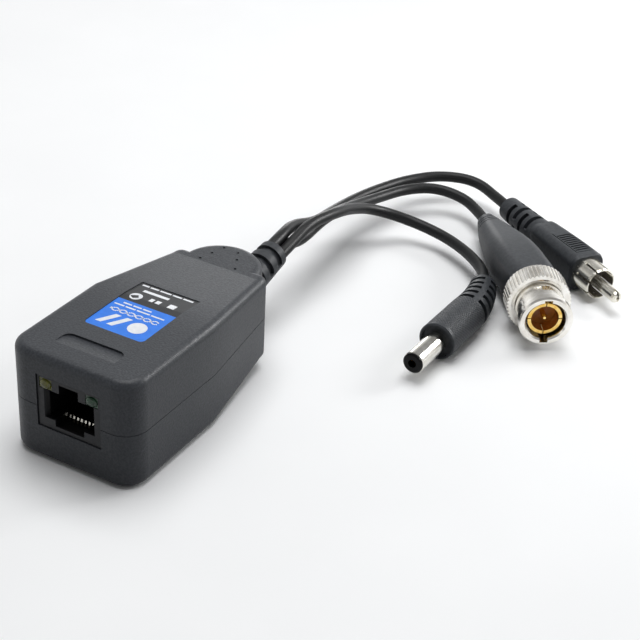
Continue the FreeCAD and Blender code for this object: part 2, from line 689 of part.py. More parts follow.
screw_form = turned("case_screw", (
    (ZERO, -d.screw_head_height), (d.screw_head_radius, -d.screw_head_height), (d.screw_head_radius, ZERO),
    (d.screw_radius, ZERO), (d.screw_radius, d.screw_length - d.screw_radius),
    (ZERO, d.screw_length)))
slot_low = -d.screw_head_height - d.overshoot
slot_a = box("screw_slot_a", d.slot_length, d.slot_width, d.slot_depth + d.overshoot,
             -d.slot_length / 2, -d.slot_width / 2, slot_low)
slot_b = box("screw_slot_b", d.slot_width, d.slot_length, d.slot_depth + d.overshoot,
             -d.slot_width / 2, -d.slot_length / 2, slot_low)
screw_cut = cut("screw_cut", screw_form, fuse("screw_slots", [slot_a, slot_b]))
for side, sign in (("left", -1), ("right", 1)):
    copy = doc.addObject("App::Link", "screw_" + side)
    copy.LinkedObject = screw_cut
    copy.LinkTransform = False
    place(copy, d.boss_offset * sign, d.boss_station, d.sink_depth)
    screws.append(copy)
seat("case_screws", group("case_screw_pair", screws))

# Network socket: body, contact carrier, contacts and two lamps

jack_face = d.jack_inset
jack_high = jack_low + d.jack_height
port_low = jack_low + d.port_floor
port_high = port_low + d.port_height
jack_block = box("jack_block", d.jack_width, d.jack_depth, d.jack_height, -d.jack_width / 2, jack_face,
                 jack_low)
port = box("port", d.port_width, d.port_depth + d.overshoot, d.port_height, -d.port_width / 2,
           jack_face - d.overshoot, port_low)
port_notch = box("port_notch", d.notch_width, d.port_depth + d.overshoot, d.notch_depth + d.overshoot,
                 -d.notch_width / 2, jack_face - d.overshoot, port_low - d.notch_depth)
port_latch = box("port_latch", d.latch_width, d.port_depth / 2 + d.overshoot, d.latch_height + d.overshoot,
                 -d.latch_width / 2, jack_face - d.overshoot, port_high - d.overshoot)
mouth = doc.addObject("Part::Wedge", "port_mouth")
for name, value in (("Xmin", -d.port_width / 2 - d.mouth_chamfer),
                    ("Xmax", d.port_width / 2 + d.mouth_chamfer),
                    ("X2min", -d.port_width / 2), ("X2max", d.port_width / 2),
                    ("Zmin", port_low), ("Zmax", port_high + d.mouth_chamfer / 2),
                    ("Z2min", port_low), ("Z2max", port_high),
                    ("Ymin", jack_face), ("Ymax", jack_face + d.mouth_chamfer * 2)):
    mouth.setExpression(name, value.formula)
lamp_z = jack_high - d.lamp_edge - d.lamp_height
lamps = []
lamp_windows = []
for colour, sign in (("yellow", -1), ("green", 1)):
    across = d.jack_width / 2 - d.lamp_edge - d.lamp_width / 2
    lamp_windows.append(box("lamp_window_" + colour, d.lamp_width + d.lamp_play * 2,
                            d.lamp_depth + d.overshoot, d.lamp_height + d.lamp_play * 2,
                            across * sign - d.lamp_width / 2 - d.lamp_play,
                            jack_face - d.overshoot, lamp_z - d.lamp_play))
    lamps.append((colour, box("lamp_" + colour, d.lamp_width, d.lamp_depth - d.lamp_inset, d.lamp_height,
                              across * sign - d.lamp_width / 2, jack_face + d.lamp_inset, lamp_z)))
jack_cuts = fuse("jack_cuts", [port, port_notch, port_latch, mouth] + lamp_windows)
seat("jack_housing", cut("jack_cut", jack_block, jack_cuts))
for colour, lamp in lamps:
    seat(colour + "_led", lamp)
seat("jack_insert", box("jack_insert_block", d.notch_width - d.lamp_play * 2, d.insert_thickness,
                        d.port_height + d.notch_depth - d.lamp_play * 2,
                        -d.notch_width / 2 + d.lamp_play, jack_face + d.port_depth - d.insert_thickness,
                        port_low - d.notch_depth + d.lamp_play))

# Eight spring contacts: each rises from the notch and slopes back over the floor of the opening

contact_front = jack_face + d.contact_setback
contact_rear = contact_front + d.contact_length
contact_base = port_low - d.notch_depth + d.lamp_play
contacts = []
contact_form = padded("contact_form", "YZ_Plane", (
    (contact_front, contact_base), (contact_front + d.contact_thickness, contact_base),
    (contact_front + d.contact_thickness * 2, port_low - d.contact_thickness),
    (contact_rear, port_low + d.port_height / 3 - d.contact_thickness),
    (contact_rear, port_low + d.port_height / 3), (contact_front + d.contact_thickness, port_low)),
    d.contact_width, both_ways=True)
CONTACTS = 8
for number in range(CONTACTS):
    copy = doc.addObject("App::Link", "contact_%d" % (number + 1))
    copy.LinkedObject = contact_form
    copy.LinkTransform = False
    place(copy, d.contact_pitch * (number - (CONTACTS - 1) / 2))
    contacts.append(copy)
seat("jack_contacts", group("contact_row", contacts))

# Circuit board and what it carries

board = box("board_block", d.board_width, d.board_length, d.board_thickness, -d.board_width / 2,
            d.board_front, board_low)
seat("circuit_board", board)

core_low = d.board_height + d.core_lift
core_form = turned("core_form", (
    (d.core_hole, ZERO), (d.core_radius, ZERO), (d.core_radius, d.core_height),
    (d.core_hole, d.core_height)))
place(core_form, ZERO, d.core_station - setback, core_low)
finish("ferrite_core", core_form)

turn_outer = box("turn_outer", d.core_radius - d.core_hole + d.wire_size * 2 + d.wire_play * 2, d.wire_size,
                 d.core_height + d.wire_size * 2 + d.wire_play * 2,
                 d.core_hole - d.wire_size - d.wire_play, -d.wire_size / 2, -d.wire_size - d.wire_play)
turn_inner = box("turn_inner", d.core_radius - d.core_hole + d.wire_play * 2, d.wire_size + d.overshoot * 2,
                 d.core_height + d.wire_play * 2, d.core_hole - d.wire_play,
                 -d.wire_size / 2 - d.overshoot, -d.wire_play)
turn_form = cut("turn_form", turn_outer, turn_inner)
doc.recompute()
turn_count = int(round(float(d.turns)))
winding = Part.makeCompound([turn_form.Shape.rotated(Vector(), Vector(0, 0, 1), 360.0 * number / turn_count)
                             for number in range(turn_count)])
finish("balun_winding", shaped("winding", winding),
       Placement(Vector(0, float(d.core_station - setback), float(core_low)), Rotation()))

arrester_cap = d.arrester_radius / 4
arrester = turned("arrester_form", (
    (ZERO, ZERO), (d.arrester_radius, ZERO), (d.arrester_radius, arrester_cap * 2),
    (d.arrester_radius - d.wire_play * 2, arrester_cap * 2),
    (d.arrester_radius - d.wire_play * 2, d.arrester_length - arrester_cap * 2),
    (d.arrester_radius, d.arrester_length - arrester_cap * 2),
    (d.arrester_radius, d.arrester_length), (ZERO, d.arrester_length)))
arrester.Placement = Placement(Vector(), Rotation(Vector(0, 1, 0), 90))
place(arrester, -d.arrester_length / 2, d.arrester_station - setback, d.board_height + d.arrester_radius)
finish("surge_arrester", arrester)

seat("coupling_capacitors", group("capacitor_pair", [
    box("capacitor_" + side, d.capacitor_width, d.capacitor_length, d.capacitor_height,
        d.capacitor_offset * sign - d.capacitor_width / 2, d.capacitor_station - d.capacitor_length / 2,
        d.board_height)
    for side, sign in (("left", -1), ("right", 1))]))
CHIPS = 4
seat("chip_resistors", group("chip_row", [
    box("chip_%d" % (number + 1), d.chip_width, d.chip_length, d.chip_height,
        d.chip_pitch * (number - (CHIPS - 1) / 2) - d.chip_width / 2, d.chip_station, d.board_height)
    for number in range(CHIPS)]))

# Strain relief: flange inside the case, tapered neck outside with three long slots

relief_base = Vector(0, float(relief_inner_y - setback), float(relief_inner_z))
relief_turn = Rotation(Vector(-1, 0, 0), Vector(0, -relief_axis.z, relief_axis.y), relief_axis, "ZXY")
relief_length = d.relief_inner + d.relief_reach
relief_form = turned("relief_form", (
    (ZERO, ZERO), (d.flange_radius, ZERO), (d.flange_radius, d.flange_thickness),
    (d.relief_radius, d.flange_thickness), (d.relief_radius, d.relief_inner),
    (d.relief_end_radius, relief_length - d.relief_edge),
    (d.relief_end_radius - d.relief_edge, relief_length), (ZERO, relief_length)))
relief_slots = []
for number in range(3):
    start = relief_length - d.relief_slot_first - d.relief_slot_pitch * number - d.relief_slot / 2
    sector = rod("relief_sector_%d" % (number + 1), d.flange_radius, d.relief_slot, z=start,
                 angle=d.relief_slot_sweep)
    sector.Placement = Placement(Vector(), Rotation(Vector(0, 0, 1), float(d.relief_slot_start)))
    place(sector, z=start)
    relief_slots.append(cut("relief_slot_%d" % (number + 1), sector,
                            rod("relief_floor_%d" % (number + 1), d.relief_slot_floor,
                                d.relief_slot + d.overshoot * 2, z=start - d.overshoot)))
finish("strain_relief_boot", cut("relief_cut", relief_form, fuse("relief_slots", relief_slots)),
       Placement(relief_base, relief_turn))


# Cords: straight runs joined by tangent arcs

def route(points):
    """Wire through the route: straight runs with an arc at each point; its length and radii."""
    points = [Vector(*point) for point in points]
    runs = [second - first for first, second in zip(points, points[1:])]
    edges = []
    radii = []
    start = points[0]
    for before, after, corner in zip(runs, runs[1:], points[1:]):
        reach = 0.45 * min(before.Length, after.Length)
        turn = before.getAngle(after)
        radii.append(reach / math.tan(turn / 2))
        into = Vector(before).normalize()
        out = Vector(after).normalize()
        first = corner - into * reach
        last = corner + out * reach
        bisector = (out - into).normalize()
        centre = corner + bisector * (reach / math.sin(turn / 2))
        middle = centre - bisector * radii[-1]
        edges.append(Part.LineSegment(start, first).toShape())
        edges.append(Part.Arc(first, middle, last).toShape())
        start = last
    edges.append(Part.LineSegment(start, points[-1]).toShape())
    wire = Part.Wire(edges)
    return wire, wire.Length, radii


def tube(name, points, diameter):
    """Round tube along a route; says its length and its bends."""
    wire, length, radii = route(points)
    direction = Vector(*points[1]) - Vector(*points[0])
    circle = Part.Wire([Part.makeCircle(float(diameter) / 2, Vector(*points[0]), direction)])
    solid = wire.makePipeShell([circle], True, False)
    expected = math.pi * float(diameter) ** 2 / 4 * length
    print("%s: %.1f mm long, volume %.4f of section times length, radii %s" % (
        name, length, solid.Volume / expected, " ".join("%.0f" % radius for radius in radii)))
    return solid


def as_tuple(vector):
    return (vector.x, vector.y, vector.z)


relief_end = relief_base + relief_axis * float(relief_length)
relief_up = Vector(0, -relief_axis.z, relief_axis.y)


def cord_offset(angle):
    """Step from the strain relief's axis to a cord; the angle is counted from the right side."""
    turn = math.radians(angle)
    return (Vector(1, 0, 0) * math.cos(turn) + relief_up * math.sin(turn)) * float(d.cord_spread)


# Where each cord leaves the strain relief, as an angle around its axis from the right side
POWER_EXIT = 0
VIDEO_EXIT = 240
AUDIO_EXIT = 120
# Heading of each plug as seen from above: from its tip to its cord, in degrees from the X axis
POWER_TIP = (44.93, 30.27)
POWER_HEADING = 88.2
VIDEO_TIP = (65.72, 61.09)
VIDEO_HEADING = 124.4
AUDIO_TIP = (74.87, 87.41)
AUDIO_HEADING = 145.0


def plug_placement(tip, height, heading):
    """Place of a plug drawn along Z from its tip: laid level, its own Y axis up."""
    turn = math.radians(heading)
    along = Vector(math.cos(turn), math.sin(turn), 0)
    up = Vector(0, 0, 1)
    return Placement(Vector(tip[0], tip[1], float(height)), Rotation(up.cross(along), up, along, "ZXY"))


def bent_axis(length, bend, share):
    """Point and heading on a plug's bent tail at a share of its length; it bends about its own Y axis."""
    turn = math.radians(float(bend)) * share
    if abs(turn) < 1e-9:
        return Vector(0, 0, float(length) * share), turn
    radius = float(length) * share / turn
    return Vector(radius * (1 - math.cos(turn)), 0, radius * math.sin(turn)), turn


power_place = plug_placement(POWER_TIP, d.power_height, POWER_HEADING)
video_place = plug_placement(VIDEO_TIP, d.video_height, VIDEO_HEADING)
audio_place = plug_placement(AUDIO_TIP, d.audio_height, AUDIO_HEADING)


def tail_end(placement, start, length, bend, drop=0.0):
    """Cord end and outward direction at the end of a plug's tail."""
    point, turn = bent_axis(length, bend, 1.0)
    point = placement.multVec(point + Vector(0, -drop, float(start)))
    direction = placement.Rotation.multVec(Vector(math.sin(turn), 0, math.cos(turn)))
    return point, direction


# Power plug: sleeve, insulator with a cap, spring contact and grip with a bent, grooved tail

sleeve_inner = d.sleeve_radius - d.sleeve_wall
sleeve_end = d.sleeve_length + d.embed
grip_start = d.sleeve_length
step_place = grip_start - d.sleeve_step
sleeve_held = d.sleeve_radius - d.sleeve_undercut
finish("dc_plug_barrel", turned("sleeve_form", (
    (sleeve_inner, d.cap_reach), (d.sleeve_radius - d.sleeve_wall / 2, d.cap_reach),
    (d.sleeve_radius, d.cap_reach + d.sleeve_wall / 2), (d.sleeve_radius, step_place),
    (sleeve_held, step_place), (sleeve_held, sleeve_end), (sleeve_inner, sleeve_end))),
    power_place)
spring_hole = d.power_spring_radius + d.lamp_play
spring_end = d.power_spring_setback + d.power_spring_length
finish("dc_plug_insulator", turned("insulator_form", (
    (d.power_bore, ZERO), (d.cap_radius - d.cap_reach / 2, ZERO), (d.cap_radius, d.cap_reach / 2),
    (d.cap_radius, d.cap_reach - d.lamp_play), (sleeve_inner - d.lamp_play, d.cap_reach - d.lamp_play),
    (sleeve_inner - d.lamp_play, sleeve_end), (ZERO, sleeve_end), (ZERO, spring_end),
    (spring_hole, spring_end), (spring_hole, d.power_spring_setback),
    (d.power_bore, d.power_spring_setback))), power_place)
spring_form = turned("power_spring_form", (
    (d.power_bore + d.lamp_play, d.power_spring_setback + d.lamp_play),
    (d.power_spring_radius, d.power_spring_setback + d.lamp_play),
    (d.power_spring_radius, spring_end - d.lamp_play),
    (d.power_bore + d.lamp_play, spring_end - d.lamp_play)))
spring_slot = box("power_spring_slot_cut", d.power_spring_radius * 2 + d.overshoot, d.power_spring_slot,
                  d.power_spring_cut, -d.power_spring_radius - d.overshoot / 2,
                  -d.power_spring_slot / 2, d.power_spring_setback - d.overshoot / 2)
finish("dc_plug_contact", cut("power_spring_cut", spring_form, spring_slot), power_place)

tail_start = grip_start + d.power_grip_length
grip_edge = d.power_ring_depth / 2
power_grip = turned("power_grip_form", (
    (ZERO, sleeve_end), (sleeve_held, sleeve_end), (sleeve_held, grip_start + d.power_ring_depth),
    (d.power_ring_outer, grip_start + d.power_ring_depth), (d.power_ring_outer, grip_start),
    (d.power_grip_radius - grip_edge, grip_start), (d.power_grip_radius, grip_start + grip_edge),
    (d.power_grip_radius, tail_start), (ZERO, tail_start)))


def ring_on_tail(share, radius):
    """Circle across the bent tail of the power plug at a share of its length."""
    point, turn = bent_axis(d.power_tail_length, d.power_tail_bend, share)
    direction = Vector(math.sin(turn), 0, math.cos(turn))
    return Part.Wire([Part.makeCircle(radius, point + Vector(0, 0, float(tail_start)), direction)])


TAIL_RINGS = 9
TAIL_FULLNESS = 1.3


def power_tail():
    """Taper that starts level with the grip, with grooves in both sides that leave two spines."""
    grip, end = float(d.power_grip_radius), float(d.power_tail_radius)

    def radius(share):
        return grip - (grip - end) * share ** TAIL_FULLNESS

    form = Part.makeLoft([ring_on_tail(number / TAIL_RINGS, radius(number / TAIL_RINGS))
                          for number in range(TAIL_RINGS + 1)], True, False)
    count = int(round(float(d.tail_grooves)))
    pitch = (1 - float(d.power_tail_land / d.power_tail_length)) / count
    width = pitch * float(d.tail_groove_share)
    lean = math.radians(float(d.tail_spine_turn))
    for number in range(count):
        low = pitch * number + (pitch - width) / 2
        core = radius(low + width) - float(d.tail_groove_depth)
        outer = Part.makeLoft([ring_on_tail(low, grip * 2), ring_on_tail(low + width, grip * 2)], True, True)
        inner = Part.makeLoft([ring_on_tail(low, core), ring_on_tail(low + width, core)], True, True)
        point, turn = bent_axis(d.power_tail_length, d.power_tail_bend, low)
        across = Vector(math.cos(turn), 0, -math.sin(turn))
        along = Vector(math.sin(turn), 0, math.cos(turn))
        upright = Vector(0, 1, 0) * math.cos(lean) - across * math.sin(lean)
        level = across * math.cos(lean) + Vector(0, 1, 0) * math.sin(lean)
        spine = Part.makeBox(float(d.tail_spine), grip * 4, float(d.power_tail_length) * width + grip)
        corner = point + Vector(0, 0, float(tail_start))
        corner = corner - upright * (grip * 2) - level * float(d.tail_spine / 2) - along * (grip / 2)
        spine.Placement = Placement(corner, Rotation(level, upright, along, "ZXY"))
        form = form.cut(outer.cut([inner, spine]))
    return form


finish("dc_plug_body", shaped("power_grip", power_grip.Shape.fuse(power_tail()).removeSplitter()),
       power_place)

# Video plug: outer contact with collar and shank, insulator, pin and sealing ring

jacket_inner = d.jacket_radius - d.jacket_wall
shank_end = d.nut_front_length + d.knurl_length + d.video_boot_gap + d.embed * 2
collar_end = d.collar_start + d.collar_length
washer_start = collar_end + d.wave_height
washer_inner = d.shank_radius + d.shank_play
washer_outer = d.nut_bore - d.shank_play
flange_front = washer_start + d.washer_thickness + d.thrust_play
flange_rear = flange_front + d.nut_flange
ring_start = flange_rear + d.thrust_play - d.lamp_play
jacket_lip = d.jacket_radius + d.jacket_lip
lip_end = d.jacket_front + d.jacket_lip_length
jacket_form = turned("jacket_form", (
    (jacket_inner, d.jacket_front), (jacket_lip, d.jacket_front), (jacket_lip, lip_end),
    (d.jacket_radius, lip_end), (d.jacket_radius, d.collar_start),
    (d.collar_radius, d.collar_start), (d.collar_radius, collar_end), (d.shank_radius, collar_end),
    (d.shank_radius, ring_start), (d.ring_groove, ring_start),
    (d.ring_groove, ring_start + d.ring_thickness + d.lamp_play * 2),
    (d.shank_radius, ring_start + d.ring_thickness + d.lamp_play * 2), (d.shank_radius, shank_end),
    (d.video_pin_radius * 2, shank_end), (d.video_pin_radius * 2, d.dielectric_front + d.dielectric_length),
    (jacket_inner, d.dielectric_front + d.dielectric_length)))
jacket_slots = [box("jacket_slot_" + side, d.jacket_radius * 2 + d.overshoot, d.jacket_slot,
                    d.jacket_slot_length + d.overshoot, -d.jacket_radius - d.overshoot / 2,
                    -d.jacket_slot / 2, d.jacket_front - d.overshoot) for side in ("level", "upright")]
jacket_slots[1].Placement = Placement(Vector(), Rotation(Vector(0, 0, 1), 90))
place(jacket_slots[1], d.jacket_slot / 2, -d.jacket_radius - d.overshoot / 2, d.jacket_front - d.overshoot)
finish("bnc_body", cut("jacket_cut", jacket_form, fuse("jacket_slots", jacket_slots)), video_place)
dielectric_end = d.dielectric_front + d.dielectric_length
finish("bnc_insulator", turned("dielectric_form", (
    (d.video_pin_radius + d.lamp_play, d.dielectric_front), (jacket_inner - d.lamp_play, d.dielectric_front),
    (jacket_inner - d.lamp_play, dielectric_end - d.lamp_play),
    (d.video_pin_radius + d.lamp_play, dielectric_end - d.lamp_play))), video_place)
pin_tip = d.video_pin_radius
finish("bnc_pin", turned("video_pin_form", (
    (ZERO, d.video_pin_front), (pin_tip / 2, d.video_pin_front),
    (d.video_pin_radius, d.video_pin_front + pin_tip),
    (d.video_pin_radius, d.video_pin_front + d.video_pin_length),
    (ZERO, d.video_pin_front + d.video_pin_length))), video_place)
finish("bnc_gasket", turned("gasket_form", (
    (d.jacket_radius + d.gasket_play, d.collar_start - d.gasket_thickness),
    (d.collar_radius, d.collar_start - d.gasket_thickness), (d.collar_radius, d.collar_start),
    (d.jacket_radius + d.gasket_play, d.collar_start))), video_place)
finish("bnc_flat_washer", turned("washer_form", (
    (washer_inner, washer_start), (washer_outer, washer_start),
    (washer_outer, washer_start + d.washer_thickness), (washer_inner, washer_start + d.washer_thickness))),
    video_place)

# Wave washer: a thin ring that rises and falls three times around
WAVES = 3
WAVE_SECTORS = 36


def wave_washer():
    """Ring between the collar and the thrust washer, in slightly sloped sectors."""
    low = float(collar_end)
    rise = float(d.wave_height - d.wave_thickness)
    thick = float(d.wave_thickness)
    inner, outer = float(washer_inner), float(washer_outer)
    sections = []
    for step in range(WAVE_SECTORS):
        angle = 2 * math.pi * step / WAVE_SECTORS
        height = low + rise * (1 + math.cos(WAVES * angle)) / 2
        spoke = Vector(math.cos(angle), math.sin(angle), 0)
        sections.append([spoke * radius + Vector(0, 0, level) for radius, level in (
            (inner, height), (outer, height), (outer, height + thick), (inner, height + thick))])
    faces = []
    for first, second in zip(sections, sections[1:] + sections[:1]):
        for index in range(4):
            after = (index + 1) % 4
            for corners in ((first[index], first[after], second[after]),
                            (first[index], second[after], second[index])):
                faces.append(Part.Face(Part.makePolygon(list(corners) + [corners[0]])))
    return Part.makeSolid(Part.makeShell(faces))


finish("bnc_wave_washer", shaped("wave_washer_form", wave_washer()), video_place)
ring_sector = rod("ring_sector", d.ring_outer, d.ring_thickness, z=ring_start + d.lamp_play,
                  angle=360 - d.ring_gap)
ring_bore = rod("ring_bore", d.ring_groove + d.lamp_play, d.ring_thickness + d.overshoot * 2,
                z=ring_start - d.overshoot)
finish("bnc_retaining_ring", cut("ring_cut", ring_sector, ring_bore), video_place)

# Bayonet nut: stepped barrel, knurled ring, inner flange and two bayonet tracks

nut_end = d.nut_front_length + d.knurl_length
neck_start = d.nut_front_length - d.nut_neck
nut_form = turned("nut_form", (
    (d.nut_bore + d.nut_mouth, ZERO), (d.nut_front_radius - d.nut_rim, ZERO),
    (d.nut_front_radius, d.nut_rim), (d.nut_front_radius, d.nut_band), (d.nut_barrel_radius, d.nut_band),
    (d.nut_barrel_radius, neck_start), (d.nut_neck_radius, neck_start),
    (d.nut_neck_radius, d.nut_front_length), (d.knurl_step, d.nut_front_length),
    (d.knurl_radius, d.nut_front_length + d.nut_rim), (d.knurl_radius, nut_end - d.nut_rim),
    (d.knurl_radius - d.nut_rim, nut_end), (d.nut_back_bore, nut_end), (d.nut_back_bore, flange_rear),
    (washer_inner, flange_rear), (washer_inner, flange_front), (d.nut_bore, flange_front),
    (d.nut_bore, d.nut_mouth)))
groove_tool = rod("knurl_tool", d.knurl_depth, d.knurl_length + d.overshoot * 2, d.knurl_radius,
                  z=d.nut_front_length - d.overshoot)
doc.recompute()
teeth = int(round(float(d.knurl_teeth)))
knurl_cuts = [groove_tool.Shape.rotated(Vector(), Vector(0, 0, 1), 360.0 * number / teeth)
              for number in range(teeth)]
TRACK_STEPS = 10
WINDOW_STEPS = 2


def bayonet_track(angle):
    """Straight entry, a window at its corner, climbing track and end pocket through the wall."""
    radius = float(d.bayonet_width) / 2
    bottom = float(d.nut_bore + d.bayonet_depth)
    through = float(d.nut_front_radius + d.overshoot)
    inner = float(d.jacket_radius)
    cuts = []

    def pocket(turn, height, reach):
        cylinder = Part.makeCylinder(radius, reach - inner, Vector(inner, 0, height), Vector(1, 0, 0))
        return cylinder.rotated(Vector(), Vector(0, 0, 1), turn)

    entry = Part.makeBox(bottom - inner, 2 * radius, float(d.bayonet_entry + d.overshoot),
                         Vector(inner, -radius, -float(d.overshoot)))
    cuts.append(entry.rotated(Vector(), Vector(0, 0, 1), angle))
    for step in range(TRACK_STEPS + 1):
        share = step / TRACK_STEPS
        height = float(d.bayonet_entry) + float(d.bayonet_rise) * share
        reach = through if step <= WINDOW_STEPS or step == TRACK_STEPS else bottom
        cuts.append(pocket(angle + float(d.bayonet_sweep) * share, height, reach))
    return cuts


track_cuts = bayonet_track(float(d.bayonet_angle)) + bayonet_track(float(d.bayonet_angle) + 180)
nut_shape = nut_form.Shape.cut(knurl_cuts).cut(track_cuts)
finish("bnc_coupling_nut", shaped("nut_cut", nut_shape), video_place)

# Boot of the video plug: rounded square at the nut, round at the cord, bent along its length


def rounded_square(half, corner, point, turn):
    """Square with rounded corners across a bent axis."""
    across = Vector(math.cos(turn), 0, -math.sin(turn))
    up = Vector(0, 1, 0)
    flat = half - corner
    edges = []
    ends = []
    for quarter, (side, height) in enumerate(((1, 1), (-1, 1), (-1, -1), (1, -1))):
        spots = []
        for eighth in range(3):
            angle = (2 * quarter + eighth) * math.pi / 4
            spots.append(point + across * (flat * side + corner * math.cos(angle))
                         + up * (flat * height + corner * math.sin(angle)))
        ends.append(spots)
    for index, spots in enumerate(ends):
        edges.append(Part.Arc(*spots).toShape())
        edges.append(Part.LineSegment(spots[2], ends[(index + 1) % 4][0]).toShape())
    return Part.Wire(edges)


boot_start = nut_end + d.video_boot_gap
boot_fall = d.video_height - d.video_end_height
# Sections of the boot: share of its length, of its width, of its roundness and of its sideways swell
BOOT_SHAPE = ((0.0, 0.97, 0.0, 0.0), (0.08, 1.0, 0.0, 0.3), (0.2, 1.0, 0.02, 0.66), (0.36, 0.99, 0.07, 0.92),
              (0.5, 0.905, 0.16, 1.0), (0.64, 0.735, 0.34, 0.95), (0.77, 0.535, 0.56, 0.78),
              (0.87, 0.34, 0.76, 0.5), (0.95, 0.14, 0.92, 0.2), (1.0, 0.0, 1.0, 0.0))
BOOT_RINGS = (0.86, 0.9, 0.94)
# Corner radius of the last section as a share of its half width: all but round
FULLY_ROUND = 0.96


def boot_point(share):
    """Point on the boot's axis, without its swell, and its heading."""
    point, turn = bent_axis(d.video_boot_length, d.video_boot_bend, share)
    fall = float(boot_fall) * (3 * share ** 2 - 2 * share ** 3)
    return point + Vector(0, -fall, float(boot_start)), turn


def boot_form(inset):
    """Loft through the boot's sections, each set in by the same amount."""
    front_half, end_half = float(d.video_boot_half), float(d.video_boot_end)
    loose = float(d.video_boot_corner) / front_half
    sections = []
    for share, wide, roundness, swell in BOOT_SHAPE:
        half = end_half + (front_half - end_half) * wide - inset
        corner = half * (loose + (FULLY_ROUND - loose) * roundness)
        point, turn = boot_point(share)
        point = point + Vector(math.cos(turn), 0, -math.sin(turn)) * float(d.video_boot_sway) * swell
        sections.append(rounded_square(half, corner, point, turn))
    return Part.makeLoft(sections, True, False)


def video_boot():
    """The boot with its fine rings and the hole for the shank."""
    boot = boot_form(0)
    under_rings = boot_form(float(d.video_boot_ring))
    for share in BOOT_RINGS:
        point, turn = boot_point(share)
        band = Part.makeCylinder(float(d.video_boot_half), float(d.video_ring_width), point,
                                 Vector(math.sin(turn), 0, math.cos(turn)))
        boot = boot.cut(band.cut(under_rings))
    return boot.cut(Part.makeCylinder(float(d.shank_radius), float(shank_end - boot_start),
                                      Vector(0, 0, float(boot_start))))


finish("bnc_boot", shaped("video_boot", video_boot()), video_place)

# Audio plug: pin, shell of petals, insulator and grip with a slotted tail

pin_end = d.audio_pin_reach + d.embed * 2
audio_front = d.audio_pin_reach
pin_form = turned("audio_pin_form", (
    (d.audio_pin_bore, ZERO), (d.audio_pin_tip, ZERO),
    ((d.audio_pin_tip + d.audio_pin_radius * 2) / 3, d.audio_pin_round / 3),
    (d.audio_pin_radius, d.audio_pin_round), (d.audio_pin_radius, pin_end),
    (ZERO, pin_end), (ZERO, d.audio_pin_hollow), (d.audio_pin_bore, d.audio_pin_hollow)))
pin_slot = box("audio_pin_slot_cut", d.audio_pin_slot, d.audio_pin_radius * 2 + d.overshoot,
               d.audio_pin_slot_length + d.overshoot, -d.audio_pin_slot / 2,
               -d.audio_pin_radius - d.overshoot / 2, -d.overshoot)
finish("rca_pin", cut("audio_pin_cut", pin_form, pin_slot), audio_place)
shell_front = audio_front - d.petal_reach
shell_end = audio_front + d.embed
shell_inner = d.petal_radius - d.petal_wall
shell_form = turned("shell_form", (
    (shell_inner, shell_front), (d.petal_radius - d.petal_wall / 2, shell_front),
    (d.petal_radius, shell_front + d.petal_wall), (d.petal_radius, shell_end), (shell_inner, shell_end)))
petal_slots = []
for number in range(int(round(float(d.petals)))):
    angle = float(d.petal_turn) + 360 * number / float(d.petals)
    slot = box("petal_slot_%d" % number, d.petal_radius + d.overshoot, d.petal_slot,
               d.petal_slot_length + d.overshoot, d.petal_slot / 2 * math.sin(math.radians(angle)),
               -d.petal_slot / 2 * math.cos(math.radians(angle)), shell_front - d.overshoot)
    slot.Placement = Placement(slot.Placement.Base, Rotation(Vector(0, 0, 1), angle))
    petal_slots.append(slot)
finish("rca_shell", cut("shell_cut", shell_form, fuse("petal_slots", petal_slots)), audio_place)
finish("rca_insulator", turned("audio_disc_form", (
    (d.audio_pin_radius + d.lamp_play, audio_front - d.plug_disc),
    (shell_inner - d.lamp_play, audio_front - d.plug_disc),
    (shell_inner - d.lamp_play, shell_end), (d.audio_pin_radius + d.lamp_play, shell_end))), audio_place)

# Sections of the grip: share of its length and of its half width
GRIP_SHAPE = ((0.0, 0.94), (0.04, 1.0), (0.35, 0.965), (0.7, 0.895), (0.93, 0.84), (1.0, 0.8))


def grip_form(inset):
    """Rounded-square grip that gets slimmer towards its tail, set in on all sides."""
    half, corner = float(d.audio_half), float(d.audio_corner)
    sections = []
    for along, wide in GRIP_SHAPE:
        point = Vector(0, 0, float(audio_front + d.audio_length * along))
        sections.append(rounded_square(half * wide - inset, corner * wide, point, 0))
    return Part.makeLoft(sections, True, True)


TAIL_SLOTS = 4


def tail_slots(start):
    """Cross slots of the tail in two pairs, each pair a quarter turn from the one before."""
    reach = float(d.audio_neck + d.overshoot)
    width = float(d.audio_tail_slot)
    sweep = float(d.audio_tail_sweep)
    slots = []
    for number in range(TAIL_SLOTS):
        low = Vector(0, 0, start + float(d.audio_tail_first + d.audio_tail_pitch * number))
        sector = Part.makeCylinder(reach, width, low, Vector(0, 0, 1), sweep)
        slot = sector.cut(Part.makeCylinder(float(d.audio_tail_floor), width, low))
        for side in (0, 180):
            turn = side + (180 - sweep) / 2 + 90 * (number % 2)
            slots.append(slot.rotated(Vector(), Vector(0, 0, 1), turn))
    return slots


